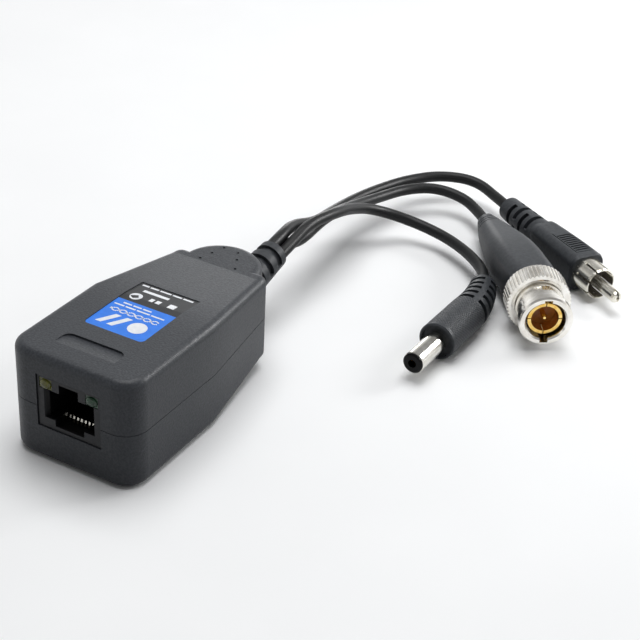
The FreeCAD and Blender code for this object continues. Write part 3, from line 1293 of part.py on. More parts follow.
def ribbed_fields():
    """Grooves that follow the grip's surface on top and below, and a fine line around each field."""
    reach = float(d.audio_half + d.overshoot)
    side, low_edge, line = float(d.pad_side), float(d.pad_low), float(d.pad_line)
    first = float(audio_front + d.pad_start)
    length = float(d.pad_length)
    margin = float(d.pad_margin)
    pitch = length / float(d.pad_ribs)
    tools = []
    for number in range(int(round(float(d.pad_ribs)))):
        tools.append(Part.makeBox(reach + side, reach - low_edge, pitch / 2,
                                  Vector(-reach, low_edge, first + pitch * number)))
    lines = [Part.makeBox(line, reach - low_edge, length + margin * 2,
                          Vector(side + line, low_edge, first - margin)),
             Part.makeBox(reach + side + line, reach - low_edge, line,
                          Vector(-reach, low_edge, first - margin))]
    tools = [tool.cut(grip_form(float(d.pad_depth))) for tool in tools]
    tools += [tool.cut(grip_form(line)) for tool in lines]
    return tools + [tool.mirror(Vector(), Vector(0, 1, 0)) for tool in tools]


def audio_grip():
    """Grip with ribbed fields on two sides and a slotted tail."""
    start = float(audio_front + d.audio_length)
    tail = Part.makeCone(float(d.audio_neck), float(d.audio_tail_radius), float(d.audio_tail_length),
                         Vector(0, 0, start), Vector(0, 0, 1))
    front = Vector(0, 0, float(audio_front))
    cuts = tail_slots(start) + ribbed_fields()
    cuts.append(Part.makeCylinder(float(d.petal_radius), float(d.embed), front))
    cuts.append(Part.makeCylinder(float(d.audio_pin_radius), float(pin_end - audio_front), front))
    return grip_form(0).fuse(tail).removeSplitter().cut(cuts)


finish("rca_body", shaped("audio_grip", audio_grip()), audio_place)

# The three cords, from the end of the strain relief to the tails of their plugs

FIRST_RUN = 6.0
LAST_RUN = 6.0


def cord(name, angle, middle_points, end, direction):
    """Tube from the strain relief to a plug's tail."""
    start = relief_end + cord_offset(angle)
    points = [start, start + relief_axis * FIRST_RUN]
    points += [Vector(*point) for point in middle_points]
    points += [end + direction * LAST_RUN, end]
    print(name, "route", " ".join("(%.2f, %.2f, %.2f)" % as_tuple(point) for point in points))
    finish(name, shaped(name + "_tube", tube(name, [as_tuple(point) for point in points], d.cord_diameter)))


POWER_ROUTE = ((1.9, 54.9, 18.5), (3.2, 66.1, 17.3), (2.2, 76.5, 13.9), (3.3, 87.0, 9.8), (10.9, 93.6, 6.0),
               (21.2, 93.6, 4.6), (30.1, 89.4, 4.6), (36.8, 84.3, 4.7))
VIDEO_ROUTE = ((0.4, 52.9, 13.8), (0.3, 64.0, 15.1), (-0.6, 74.5, 13.2), (-0.7, 86.1, 10.3),
               (0.4, 96.2, 8.5), (3.2, 106.8, 7.6), (9.3, 114.1, 7.0), (17.9, 115.2, 5.8))
AUDIO_ROUTE = ((-3.2, 55.2, 16.5), (-3.0, 66.2, 12.4), (-4.0, 78.6, 10.6), (-3.8, 90.1, 9.4),
               (-2.4, 101.0, 8.3), (0.6, 112.2, 7.5), (6.9, 122.2, 7.0), (16.4, 126.6, 6.3))
power_end, power_direction = tail_end(power_place, tail_start, d.power_tail_length, d.power_tail_bend)
video_end, video_direction = tail_end(video_place, boot_start, d.video_boot_length, d.video_boot_bend,
                                      float(boot_fall))
audio_end, audio_direction = tail_end(audio_place, audio_front + d.audio_length, d.audio_tail_length, ZERO)
cord("dc_cord", POWER_EXIT, POWER_ROUTE, power_end, power_direction)
cord("video_cord", VIDEO_EXIT, VIDEO_ROUTE, video_end, video_direction)
cord("audio_cord", AUDIO_EXIT, AUDIO_ROUTE, audio_end, audio_direction)

# Two wires of each cord inside the case, from the strain relief down to the board


def lead_pair(name, angle, across):
    """Two wires from the inner end of the strain relief to the board."""
    wires = []
    middle = relief_base + cord_offset(angle)
    foot_y = float(d.board_front + d.board_length - setback - d.lead_spacing * 2)
    for sign in (-1, 1):
        start = middle + Vector(float(d.lead_split * sign), 0, 0)
        foot = Vector(float(across + d.lead_spacing * sign / 2), foot_y, float(d.board_height))
        points = (start, start - relief_axis * float(d.lead_run),
                  foot + Vector(0, 0, float(d.lead_rise)), foot)
        wires.append(tube(name, [as_tuple(point) for point in points], d.lead_diameter))
    finish(name, shaped(name + "_wires", Part.makeCompound(wires)))


lead_pair("dc_lead_wires", POWER_EXIT, d.lead_station)
lead_pair("video_lead_wires", VIDEO_EXIT, ZERO)
lead_pair("audio_lead_wires", AUDIO_EXIT, -d.lead_station)

# Checks, then one file for each sub-part

doc.recompute()
for item in doc.Objects:
    if "Invalid" in item.State or "Error" in item.State:
        raise RuntimeError("%s failed: %s" % (item.Name, item.State))
for name, item in finished:
    shape = item.Shape
    if shape.isNull() or not shape.isValid() or not shape.Solids:
        raise RuntimeError("%s has no valid solid" % name)
    if len(name) >= 60:
        raise RuntimeError("%s is too long a name" % name)
for name, item in finished:
    item.Shape.exportStep("parts/%s.step" % name)
    bounds = item.Shape.optimalBoundingBox()
    print("%-22s %d solids  %8.1f mm3  x %.1f..%.1f  y %.1f..%.1f  z %.1f..%.1f" % (
        name, len(item.Shape.Solids), item.Shape.Volume, bounds.XMin, bounds.XMax, bounds.YMin, bounds.YMax,
        bounds.ZMin, bounds.ZMax))
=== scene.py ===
import math

import bmesh
import bpy
from bpy.props import FloatProperty, FloatVectorProperty, PointerProperty
from mathutils import Matrix, Vector


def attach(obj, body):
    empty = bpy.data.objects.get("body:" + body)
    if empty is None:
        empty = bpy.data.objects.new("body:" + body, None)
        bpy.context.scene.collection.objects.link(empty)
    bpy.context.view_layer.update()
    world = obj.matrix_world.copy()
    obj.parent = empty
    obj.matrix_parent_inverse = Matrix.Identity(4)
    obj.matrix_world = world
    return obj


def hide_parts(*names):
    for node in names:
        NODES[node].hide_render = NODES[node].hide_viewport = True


bl_info = {
    "name": "Video balun looks",
    "version": (1, 0, 0),
    "blender": (4, 5, 0),
    "location": "3D View > Sidebar > Balun",
    "description": "Dresses a video balun with a network socket, three cords and their plugs",
    "category": "Object",
}

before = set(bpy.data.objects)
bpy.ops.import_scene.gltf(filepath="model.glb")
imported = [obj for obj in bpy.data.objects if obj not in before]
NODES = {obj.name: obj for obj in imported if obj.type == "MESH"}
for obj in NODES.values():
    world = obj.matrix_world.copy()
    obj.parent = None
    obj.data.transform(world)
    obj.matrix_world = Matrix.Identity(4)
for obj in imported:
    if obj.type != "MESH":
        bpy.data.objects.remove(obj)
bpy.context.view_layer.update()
BODY = "balun"

MM = 0.001

# Camera of the photograph: place in mm, angles in degrees, lens and sensor in mm, clipping in metres
CAMERA_PLACE = (168.747, -245.628, 197.823)
CAMERA_AZIMUTH = 28.3809
CAMERA_ELEVATION = 31.1583
CAMERA_ROLL = 3.218
CAMERA_LENS = 85.5
CAMERA_SENSOR = 36.0
CAMERA_CLIP = (0.01, 20.0)

# The case, in mm: its front and its top, and how far behind the front its walls start to fall in
CASE_FRONT = -41.386
CASE_TOP = 26.5
TAPER_START = 30.6

# Fall of the top and of the sides per mm behind that line, and the reach of their soft turn, in mm
TOP_TAPER = 0.09
SIDE_TAPER = 0.14
TAPER_BLEND = 9.0

# Skin that lies further than this from the middle belongs to a side, in mm
SIDE_FACE = 15.2

# Label, in mm: depth of its recess, thickness of the film, how deep in the film the print starts and how
# thick the print is
LABEL_DEPTH = 0.35
LABEL_FILM = 0.2
PRINT_SUNK = 0.02
PRINT_THICK = 0.045

# Routes of the cords, from the strain relief to the plugs, in mm
POWER_ROUTE = (
    (1.85, 40.82, 15.77), (1.85, 46.73, 16.81), (1.90, 54.90, 18.50), (3.20, 66.10, 17.30),
    (2.20, 76.50, 13.90), (3.30, 87.00, 9.80), (10.90, 93.60, 6.00), (21.20, 93.60, 4.60),
    (30.10, 89.40, 4.60), (36.80, 84.30, 4.70), (41.15, 79.26, 4.82), (43.26, 73.65, 4.82))
VIDEO_ROUTE = (
    (-0.93, 41.10, 14.19), (-0.93, 47.01, 15.23), (0.40, 52.90, 13.80), (0.30, 64.00, 15.10),
    (-0.60, 74.50, 13.20), (-0.70, 86.10, 10.30), (0.40, 96.20, 8.50), (3.20, 106.80, 7.60),
    (9.30, 114.10, 7.00), (17.90, 115.20, 5.80), (24.50, 111.11, 5.00), (28.83, 106.96, 5.00))
AUDIO_ROUTE = (
    (-0.92, 40.54, 17.35), (-0.92, 46.45, 18.39), (-3.20, 55.20, 16.50), (-3.00, 66.20, 12.40),
    (-4.00, 78.60, 10.60), (-3.80, 90.10, 9.40), (-2.40, 101.00, 8.30), (0.60, 112.20, 7.50),
    (6.90, 122.20, 7.00), (16.40, 126.60, 6.30), (26.07, 121.58, 5.06), (30.99, 118.14, 5.06))

# Each cord's node, its route and the nodes of the plug on its far end
CORDS = (
    ("dc_cord", POWER_ROUTE, ("dc_plug_barrel", "dc_plug_insulator", "dc_plug_contact", "dc_plug_body")),
    ("video_cord", VIDEO_ROUTE, (
        "bnc_body", "bnc_insulator", "bnc_pin", "bnc_gasket", "bnc_flat_washer", "bnc_wave_washer",
        "bnc_retaining_ring", "bnc_coupling_nut", "bnc_boot")),
    ("audio_cord", AUDIO_ROUTE, ("rca_pin", "rca_shell", "rca_insulator", "rca_body")))

# Resolution of a jacket around and along its cord, and the steps that sum up the length of one bend
JACKET_AROUND = 6
JACKET_ALONG = 16

# Depths behind the front between which the socket's face turns into the painted shade of its walls, in mm
SOCKET_SHADE_START = 0.45
SOCKET_SHADE_FULL = 0.9

# Upper bend of the socket's contacts: its height, and half the height of the bright band there that is left
# free of painted shade, in mm
CONTACT_BEND = 10.66
CONTACT_UNSHADED = 0.32

# Rounded fronts of the socket's two light pipes, in mm, with their faces around and from end to end
LENS_ACROSS = 6.0
LENS_FRONT = -40.95
LENS_HEIGHT = 19.45
LENS_RADII = (1.5, 0.75, 1.2)
LENS_FACES = (32, 16)

# Edges that turn by more than this stay sharp, in degrees
SHARP_EDGE = 40

# Power plug: its tip on the axis in mm, the heading from the tip to the cord in degrees, and where the
# straight part of its grip starts and ends behind the tip, in mm
POWER_TIP = (44.93, 30.27, 4.82)
POWER_HEADING = 88.2
POWER_GRIP = (13.5, 28.5)

# Crossed spiral lines on that grip: how many go around it, their pitch along it and their height, in mm
HATCH_LINES = 33
HATCH_PITCH = 0.9
HATCH_HEIGHT = 0.06

# Print on the label, in mm: distance from the middle and from the socket face, then width, length and lean
# of a bar, or radius of a spot; a lean is how far a bar moves across for each mm along
FIGURE_BARS = ((-4.3, 20.05, 1.5, 4.4, 0.55), (-1.3, 20.05, 1.5, 4.4, 0.55))
FIGURE_SPOT = (3.4, 20.0, 2.2)
EMBLEM_SPOT = (-4.8, 30.9, 1.5)
EMBLEM_BARS = ((-0.9, 31.4, 1.0, 1.4), (0.8, 31.4, 1.2, 1.4), (4.35, 31.6, 1.8, 1.8), (-1.7, 34.2, 6.8, 1.0))

# Rows of words as bars, in mm: distance of a row from the socket face, its height, and each word's middle
# and length
BLUE_ROWS = (
    (25.95, 0.45, ((-5.7, 2.6), (-2.7, 2.6), (0.7, 3.4), (4.5, 3.4))),
    (27.15, 0.45, ((-4.3, 2.2), (-1.7, 2.2), (0.9, 2.2))))
DARK_ROWS = (
    (36.5, 0.6, ((-6.1, 1.8), (-3.7, 2.2), (-0.7, 3.0), (2.4, 2.4), (5.3, 2.6))),)

# Twisted pair of the print, in mm: its start and length across the label, its distance from the socket face,
# how far a line swings, its turn in radians per mm, its thickness and what a slope adds to that
PAIR_START = -6.6
PAIR_LENGTH = 12.6
PAIR_ALONG = 23.9
PAIR_SWING = 0.62
PAIR_TURN = 1.5
PAIR_LINE = 0.26
PAIR_SLOPE = 0.1

# A line of the pair is a row of short bars that overlap a little
PAIR_BARS = 40
PAIR_OVERLAP = 1.05

# Sides of a round spot of print
SPOT_SIDES = 32

# Floor, in metres: half its side, its drop below the object, and where it starts and ends fading to backdrop
FLOOR_HALF = 3.0
FLOOR_DROP = 0.0002
BACKDROP_START = 0.25
BACKDROP_END = 0.65

# Strength of the surroundings' light on matt surfaces, from the camera's side and from behind the object
LIGHT_FRONT = 0.04
LIGHT_BACK = 0.52

# Strength of the surroundings as mirrors show them: a white backdrop and a dimmer ceiling, and the heights of
# a ray's direction between which the one turns into the other
ROOM_BACKDROP = 1.0
ROOM_CEILING = 0.3
BACKDROP_TOP = 0.3
CEILING_EDGE = 0.55

# Soft lamps: name, place, point they face, side, power and whether they light matt surfaces too
LAMPS = (
    ("overhead_softbox", (-0.05, 0.20, 0.95), (0.0, 0.04, 0.0), 0.7, 7.0, True),
    ("window_softbox", (-0.40, 0.70, 0.08), (0.0, 0.03, 0.0), 0.14, 0.45, True),
    ("side_softbox", (0.20, 0.27, 0.14), (0.0, 0.03, 0.0), 0.10, 0.28, True),
    ("edge_softbox", (0.31, 0.48, 0.28), (0.0, 0.03, 0.0), 0.14, 1.4, False))

# Sockets of a Mix node: its values and colours going in, its colour coming out
VALUE_A, VALUE_B = 2, 3
COLOUR_A, COLOUR_B = 6, 7
COLOUR_OUT = 2


def linear(code):
    """An sRGB hex code as linear colour, with full alpha."""
    parts = [int(code[place:place + 2], 16) / 255 for place in (1, 3, 5)]
    parts = [part / 12.92 if part <= 0.04045 else ((part + 0.055) / 1.055) ** 2.4 for part in parts]
    return tuple(parts) + (1.0,)


def tone(colour):
    """A colour given as hex code or as a property, with full alpha."""
    return linear(colour) if isinstance(colour, str) else tuple(colour) + (1.0,)


def darker(colour, share):
    """A colour that keeps only a share of its light."""
    return [part * share for part in colour]


def add(tree, kind, settings, inputs):
    """Add a node with its settings; its inputs are values or the outputs of other nodes."""
    node = tree.nodes.new(kind)
    for name, value in settings.items():
        setattr(node, name, value)
    for name, value in inputs.items():
        if isinstance(value, bpy.types.NodeSocket):
            tree.links.new(value, node.inputs[name])
        else:
            node.inputs[name].default_value = value
    return node


def new_material(name):
    """An empty material; gives its node tree and the coordinates fixed to the piece."""
    material = bpy.data.materials.new(name)
    material.use_nodes = True
    tree = material.node_tree
    tree.nodes.clear()
    place = add(tree, "ShaderNodeTexCoord", {}, {}).outputs["Object"]
    return material, tree, place


def close(tree, shader):
    """Make a shader the surface of its material."""
    add(tree, "ShaderNodeOutputMaterial", {}, {"Surface": shader.outputs[0]})


def pattern_scale(size_mm):
    """Scale of a pattern whose spots have a size in mm."""
    return 1000 / size_mm


def mottled(tree, place, light, dark, size_mm):
    """Two close tones of one colour, mixed in soft patches of a size."""
    patches = add(tree, "ShaderNodeTexNoise", {}, {
        "Vector": place, "Scale": pattern_scale(size_mm), "Detail": 3.0})
    share = add(tree, "ShaderNodeMapRange", {}, {
        "Value": patches.outputs["Fac"], "From Min": 0.36, "From Max": 0.64})
    mixed = add(tree, "ShaderNodeMix", {"data_type": "RGBA"}, {
        "Factor": share.outputs["Result"], COLOUR_A: tone(light), COLOUR_B: tone(dark)})
    return mixed.outputs[COLOUR_OUT]


def grain(tree, place, size_mm, depth_mm, strength, skin=None):
    """Fine pits of a moulded or cast surface, on top of a coarser skin where there is one."""
    pits = add(tree, "ShaderNodeTexNoise", {}, {
        "Vector": place, "Scale": pattern_scale(size_mm), "Detail": 2.0})
    inputs = {"Height": pits.outputs["Fac"], "Distance": depth_mm * MM, "Strength": strength}
    if skin is not None:
        inputs["Normal"] = skin
    return add(tree, "ShaderNodeBump", {}, inputs).outputs["Normal"]


def soft_taper(tree, place):
    """Skin that turns softly into the taper of the case, where its faces meet at a blunt line.

    Its depth grows with the square of the nearness to the line, so that each side leans by half the taper
    at the line and not at all where the blend ends.
    """
    axes = add(tree, "ShaderNodeSeparateXYZ", {}, {"Vector": place})
    outward = add(tree, "ShaderNodeMath", {"operation": "ABSOLUTE"}, {0: axes.outputs["X"]})
    side = add(tree, "ShaderNodeMath", {"operation": "GREATER_THAN"}, {
        0: outward.outputs[0], 1: SIDE_FACE * MM})
    taper = add(tree, "ShaderNodeMix", {}, {
        "Factor": side.outputs[0], VALUE_A: TOP_TAPER, VALUE_B: SIDE_TAPER})
    along = add(tree, "ShaderNodeMath", {"operation": "SUBTRACT"}, {
        0: axes.outputs["Y"], 1: (CASE_FRONT + TAPER_START) * MM})
    away = add(tree, "ShaderNodeMath", {"operation": "ABSOLUTE"}, {0: along.outputs[0]})
    near = add(tree, "ShaderNodeMath", {"operation": "SUBTRACT", "use_clamp": True}, {
        0: TAPER_BLEND * MM, 1: away.outputs[0]})
    square = add(tree, "ShaderNodeMath", {"operation": "MULTIPLY"}, {0: near.outputs[0], 1: near.outputs[0]})
    leaning = add(tree, "ShaderNodeMath", {"operation": "MULTIPLY"}, {
        0: square.outputs[0], 1: taper.outputs[0]})
    height = add(tree, "ShaderNodeMath", {"operation": "DIVIDE"}, {
        0: leaning.outputs[0], 1: -4 * TAPER_BLEND * MM})
    return add(tree, "ShaderNodeBump", {}, {"Height": height.outputs[0], "Distance": 1.0}).outputs["Normal"]


# Spark-textured ABS: a dark grey whose fine pits scatter light softly and sparkle a little.
# Real pits are finer; these are as coarse as they need to be to show.
def moulded_abs(looks):
    material, tree, place = new_material("spark_textured_abs")
    skin = soft_taper(tree, place)
    shader = add(tree, "ShaderNodeBsdfPrincipled", {}, {
        "Base Color": mottled(tree, place, looks.case_light, looks.case_dark, size_mm=0.5),
        "Roughness": 0.44, "IOR": 1.54, "Specular IOR Level": 0.3,
        "Normal": grain(tree, place, size_mm=0.4, depth_mm=0.05, strength=1.0, skin=skin)})
    close(tree, shader)
    return material


# Soft PVC of the cords, grips and boots: dark grey, satin, with a fine matt skin from the mould.
# The skin's grain is drawn coarser than it is, so that it shows.
def soft_pvc(name, light, dark, roughness, relief=None):
    material, tree, place = new_material(name)
    skin = grain(tree, place, size_mm=0.5, depth_mm=0.02, strength=0.7)
    if relief is not None:
        height, height_mm = relief(tree, place)
        ridges = add(tree, "ShaderNodeBump", {}, {
            "Height": height, "Distance": height_mm * MM, "Normal": skin})
        skin = ridges.outputs["Normal"]
    shader = add(tree, "ShaderNodeBsdfPrincipled", {}, {
        "Base Color": mottled(tree, place, light, dark, size_mm=0.9),
        "Roughness": roughness, "IOR": 1.53, "Specular IOR Level": 0.25, "Normal": skin})
    close(tree, shader)
    return material


def power_hatch(tree, place):
    """Two sets of fine spiral lines that cross around the straight grip of the power plug."""
    turned = add(tree, "ShaderNodeMapping", {"vector_type": "TEXTURE"}, {
        "Vector": place, "Location": tuple(part * MM for part in POWER_TIP),
        "Rotation": (0.0, 0.0, math.radians(POWER_HEADING))})
    axes = add(tree, "ShaderNodeSeparateXYZ", {}, {"Vector": turned.outputs[0]})
    around = add(tree, "ShaderNodeMath", {"operation": "ARCTAN2"}, {
        0: axes.outputs["Z"], 1: axes.outputs["Y"]})
    along = add(tree, "ShaderNodeMath", {"operation": "MULTIPLY"}, {
        0: axes.outputs["X"], 1: 2 * math.pi / (HATCH_PITCH * MM)})
    waves = []
    for turns in (-HATCH_LINES, HATCH_LINES):
        phase = add(tree, "ShaderNodeMath", {"operation": "MULTIPLY_ADD"}, {
            0: around.outputs[0], 1: turns, 2: along.outputs[0]})
        waves.append(add(tree, "ShaderNodeMath", {"operation": "SINE"}, {0: phase.outputs[0]}).outputs[0])
    crossed = add(tree, "ShaderNodeMath", {"operation": "MAXIMUM"}, {0: waves[0], 1: waves[1]})
    front, rear = (add(tree, "ShaderNodeMath", {"operation": kind}, {0: axes.outputs["X"], 1: edge * MM})
                   for kind, edge in zip(("GREATER_THAN", "LESS_THAN"), POWER_GRIP))
    field = add(tree, "ShaderNodeMath", {"operation": "MULTIPLY"}, {0: front.outputs[0], 1: rear.outputs[0]})
    height = add(tree, "ShaderNodeMath", {"operation": "MULTIPLY"}, {
        0: crossed.outputs[0], 1: field.outputs[0]})
    return height.outputs[0], HATCH_HEIGHT


# Glass-filled PBT of the socket: a dark grey face, and painted shade that turns the walls behind it near
# black; a hard semi-gloss
def socket_pbt():
    material, tree, place = new_material("glass_filled_pbt_socket")
    depth = add(tree, "ShaderNodeSeparateXYZ", {}, {"Vector": place}).outputs["Y"]
    # Painted shade: from the face inwards the colour turns near black, for the deep shade inside the opening
    wall_shade_share = add(tree, "ShaderNodeMapRange", {}, {
        "Value": depth,
        "From Min": (CASE_FRONT + SOCKET_SHADE_START) * MM, "From Max": (CASE_FRONT + SOCKET_SHADE_FULL) * MM})
    face = mottled(tree, place, "#26272a", "#1e1f22", size_mm=0.9)
    painted_wall_shade = mottled(tree, place, "#0a0a0b", "#070708", size_mm=0.9)
    shade = add(tree, "ShaderNodeMix", {"data_type": "RGBA"}, {
        "Factor": wall_shade_share.outputs["Result"], COLOUR_A: face, COLOUR_B: painted_wall_shade})
    shader = add(tree, "ShaderNodeBsdfPrincipled", {}, {
        "Base Color": shade.outputs[COLOUR_OUT],
        "Roughness": 0.42, "IOR": 1.57, "Specular IOR Level": 0.25,
        "Normal": grain(tree, place, size_mm=0.3, depth_mm=0.01, strength=0.4)})
    close(tree, shader)
    return material


# Tinned spring wire of the contacts: bright at the upper bend, with a dark, dull painted shade everywhere
# else deep in the socket
def tinned_contacts():
    material, tree, place = new_material("tinned_spring_contacts")
    height = add(tree, "ShaderNodeSeparateXYZ", {}, {"Vector": place}).outputs["Z"]
    unshaded_band = add(tree, "ShaderNodeMath", {"operation": "COMPARE"}, {
        0: height, 1: CONTACT_BEND * MM, 2: CONTACT_UNSHADED * MM})
    # Painted shade: the wire is coloured near black away from its upper bend
    shade = add(tree, "ShaderNodeMix", {"data_type": "RGBA"}, {
        "Factor": unshaded_band.outputs[0], COLOUR_A: linear("#24221d"),
        COLOUR_B: mottled(tree, place, "#f2efe6", "#d8d4c8", size_mm=0.4)})
    shader = add(tree, "ShaderNodeBsdfPrincipled", {}, {
        "Base Color": shade.outputs[COLOUR_OUT], "Metallic": 1.0, "Roughness": 0.35,
        "Normal": grain(tree, place, size_mm=0.3, depth_mm=0.004, strength=0.3)})
    close(tree, shader)
    return material


# Bright nickel plate on turned brass: a mirror that is a little cloudier in small patches
def nickel_plate(name, light="#e9e7e1", dark="#d6d3cb", roughness=0.16):
    material, tree, place = new_material(name)
    marks = add(tree, "ShaderNodeTexNoise", {}, {
        "Vector": place, "Scale": pattern_scale(size_mm=0.7), "Detail": 4.0})
    rough = add(tree, "ShaderNodeMapRange", {}, {
        "Value": marks.outputs["Fac"], "To Min": roughness * 0.8, "To Max": roughness * 1.3})
    shader = add(tree, "ShaderNodeBsdfPrincipled", {}, {
        "Base Color": mottled(tree, place, light, dark, size_mm=2.5),
        "Metallic": 1.0, "Roughness": rough.outputs["Result"],
        "Normal": grain(tree, place, size_mm=0.6, depth_mm=0.004, strength=0.3)})
    close(tree, shader)
    return material


# Flash gold over nickel: warm, smooth and bright
def gold_plate():
    material, tree, place = new_material("flash_gold_plate")
    shader = add(tree, "ShaderNodeBsdfPrincipled", {}, {
        "Base Color": mottled(tree, place, "#f5d68a", "#e3b556", size_mm=1.2),
        "Metallic": 1.0, "Roughness": 0.24,
        "Normal": grain(tree, place, size_mm=0.5, depth_mm=0.004, strength=0.3)})
    close(tree, shader)
    return material


# Polycarbonate light pipes: tinted and glossy, with a little light scattered inside
def tinted_lens(name, light, dark):
    material, tree, place = new_material(name)
    shader = add(tree, "ShaderNodeBsdfPrincipled", {}, {
        "Base Color": mottled(tree, place, light, dark, size_mm=0.8),
        "Roughness": 0.1, "IOR": 1.58, "Specular IOR Level": 0.35,
        "Subsurface Weight": 0.15, "Subsurface Radius": (0.6 * MM, 0.6 * MM, 0.6 * MM)})
    close(tree, shader)
    return material


# Printed vinyl film: one blue field and one dark field that meet in a straight line
def printed_film(looks):
    material, tree, place = new_material("printed_vinyl_film")
    along = add(tree, "ShaderNodeSeparateXYZ", {}, {"Vector": place}).outputs["Y"]
    border = CASE_FRONT * MM + looks.label_border
    field = add(tree, "ShaderNodeMath", {"operation": "GREATER_THAN"}, {0: along, 1: border})
    blue = mottled(tree, place, looks.label_blue, darker(looks.label_blue, share=0.9), size_mm=2.2)
    grey = mottled(tree, place, looks.label_grey, darker(looks.label_grey, share=0.8), size_mm=2.2)
    print_tone = add(tree, "ShaderNodeMix", {"data_type": "RGBA"}, {
        "Factor": field.outputs[0], COLOUR_A: blue, COLOUR_B: grey})
    shader = add(tree, "ShaderNodeBsdfPrincipled", {}, {
        "Base Color": print_tone.outputs[COLOUR_OUT],
        "Roughness": 0.5, "IOR": 1.5, "Specular IOR Level": 0.35,
        "Normal": grain(tree, place, size_mm=0.5, depth_mm=0.008, strength=0.3)})
    close(tree, shader)
    return material


def plain(name, light, dark, size_mm, roughness, metallic=0.0, specular=0.5):
    """A finish with two close tones and a fine grain."""
    material, tree, place = new_material(name)
    shader = add(tree, "ShaderNodeBsdfPrincipled", {}, {
        "Base Color": mottled(tree, place, light, dark, size_mm),
        "Roughness": roughness, "Metallic": metallic, "Specular IOR Level": specular,
        "Normal": grain(tree, place, size_mm / 2, depth_mm=0.01, strength=0.5)})
    close(tree, shader)
    return material


def dress(material, *names):
    """Put one material on CAD nodes."""
    for name in names:
        mesh = NODES[name].data
        mesh.materials.clear()
        mesh.materials.append(material)


def new_piece(name, mesh, material):
    """Put a finished piece on the balun, with its mesh, material and material slot."""
    piece = bpy.data.objects.new(name, mesh)
    bpy.context.scene.collection.objects.link(piece)
    mesh.materials.clear()
    mesh.materials.append(material)
    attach(piece, BODY)


def to_mesh(name, shape, sharp_edge=None):
    """Turn a bmesh into a mesh whose normals point out, and smooth it up to an angle if one is given."""
    bmesh.ops.recalc_face_normals(shape, faces=shape.faces)
    mesh = bpy.data.meshes.new(name)
    shape.to_mesh(mesh)
    shape.free()
    if sharp_edge is not None:
        mesh.shade_smooth()
        mesh.set_sharp_from_angle(angle=math.radians(sharp_edge))
    return mesh


class BalunLooks(bpy.types.PropertyGroup):
    """Colours and sizes of the finishes."""
    case_light: FloatVectorProperty(
        name="Case, light tone", description="Lighter tone of the case plastic",
        subtype="COLOR", size=3, min=0.0, max=1.0, default=linear("#3f4247")[:3])
    case_dark: FloatVectorProperty(
        name="Case, dark tone", description="Darker tone of the case plastic",
        subtype="COLOR", size=3, min=0.0, max=1.0, default=linear("#303338")[:3])
    grip_light: FloatVectorProperty(
        name="Grips, light tone", description="Lighter tone of the grips, the boot and the strain relief",
        subtype="COLOR", size=3, min=0.0, max=1.0, default=linear("#3e4145")[:3])
    grip_dark: FloatVectorProperty(
        name="Grips, dark tone", description="Darker tone of the grips, the boot and the strain relief",
        subtype="COLOR", size=3, min=0.0, max=1.0, default=linear("#34373b")[:3])
    label_blue: FloatVectorProperty(
        name="Label, blue", description="Blue field of the label",
        subtype="COLOR", size=3, min=0.0, max=1.0, default=linear("#2f80ee")[:3])
    label_grey: FloatVectorProperty(
        name="Label, grey", description="Dark field of the label",
        subtype="COLOR", size=3, min=0.0, max=1.0, default=linear("#2c2e31")[:3])
    label_border: FloatProperty(
        name="Label border", description="Socket face to the line between the two fields of the label",
        default=0.0284, min=0.016, max=0.037, unit="LENGTH")
    cord_diameter: FloatProperty(
        name="Cord diameter", description="Diameter of the three cords",
        default=0.003, min=0.001, max=0.006, unit="LENGTH")


class BALUN_OT_camera(bpy.types.Operator):
    """Set the camera where the photograph was taken from"""
    bl_idname = "balun.camera"
    bl_label = "Camera"

    def execute(self, context):
        camera = bpy.data.cameras.new("camera")
        camera.lens = CAMERA_LENS
        camera.sensor_width = CAMERA_SENSOR
        camera.clip_start, camera.clip_end = CAMERA_CLIP
        azimuth, elevation, roll = (math.radians(angle)
                                    for angle in (CAMERA_AZIMUTH, CAMERA_ELEVATION, CAMERA_ROLL))
        back = Vector((math.sin(azimuth) * math.cos(elevation), -math.cos(azimuth) * math.cos(elevation),
                       math.sin(elevation)))
        level = (-back).cross(Vector((0, 0, 1))).normalized()
        upright = level.cross(-back)
        right = level * math.cos(roll) + upright * math.sin(roll)
        up = upright * math.cos(roll) - level * math.sin(roll)
        holder = bpy.data.objects.new("camera", camera)
        context.scene.collection.objects.link(holder)
        turn = Matrix((right, up, back)).transposed().to_4x4()
        holder.matrix_world = Matrix.Translation(Vector(CAMERA_PLACE) * MM) @ turn
        context.scene.camera = holder
        return {"FINISHED"}


class BALUN_OT_cords(bpy.types.Operator):
    """Lay the three cords from the strain relief to their plugs"""
    bl_idname = "balun.cords"
    bl_label = "Cords"

    def execute(self, context):
        looks = context.scene.balun_looks
        jacket = soft_pvc("satin_pvc_cord_jacket", "#1b1c1e", "#141516", roughness=0.42)
        for name, route, plug in CORDS:
            curve = bpy.data.curves.new(name + "_line", "CURVE")
            curve.dimensions = "3D"
            curve.bevel_depth = looks.cord_diameter / 2
            curve.bevel_resolution = JACKET_AROUND
            curve.resolution_u = JACKET_ALONG
            curve.use_fill_caps = True
            line = curve.splines.new("NURBS")
            line.points.add(len(route) - 1)
            for point, spot in zip(line.points, route):
                point.co = tuple(part * MM for part in spot) + (1.0,)
            line.order_u = 3
            line.use_endpoint_u = True
            cord = bpy.data.objects.new(name + "_jacket", curve)
            context.scene.collection.objects.link(cord)
            curve.materials.append(jacket)
            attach(cord, BODY)
            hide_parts(name)
        return {"FINISHED"}


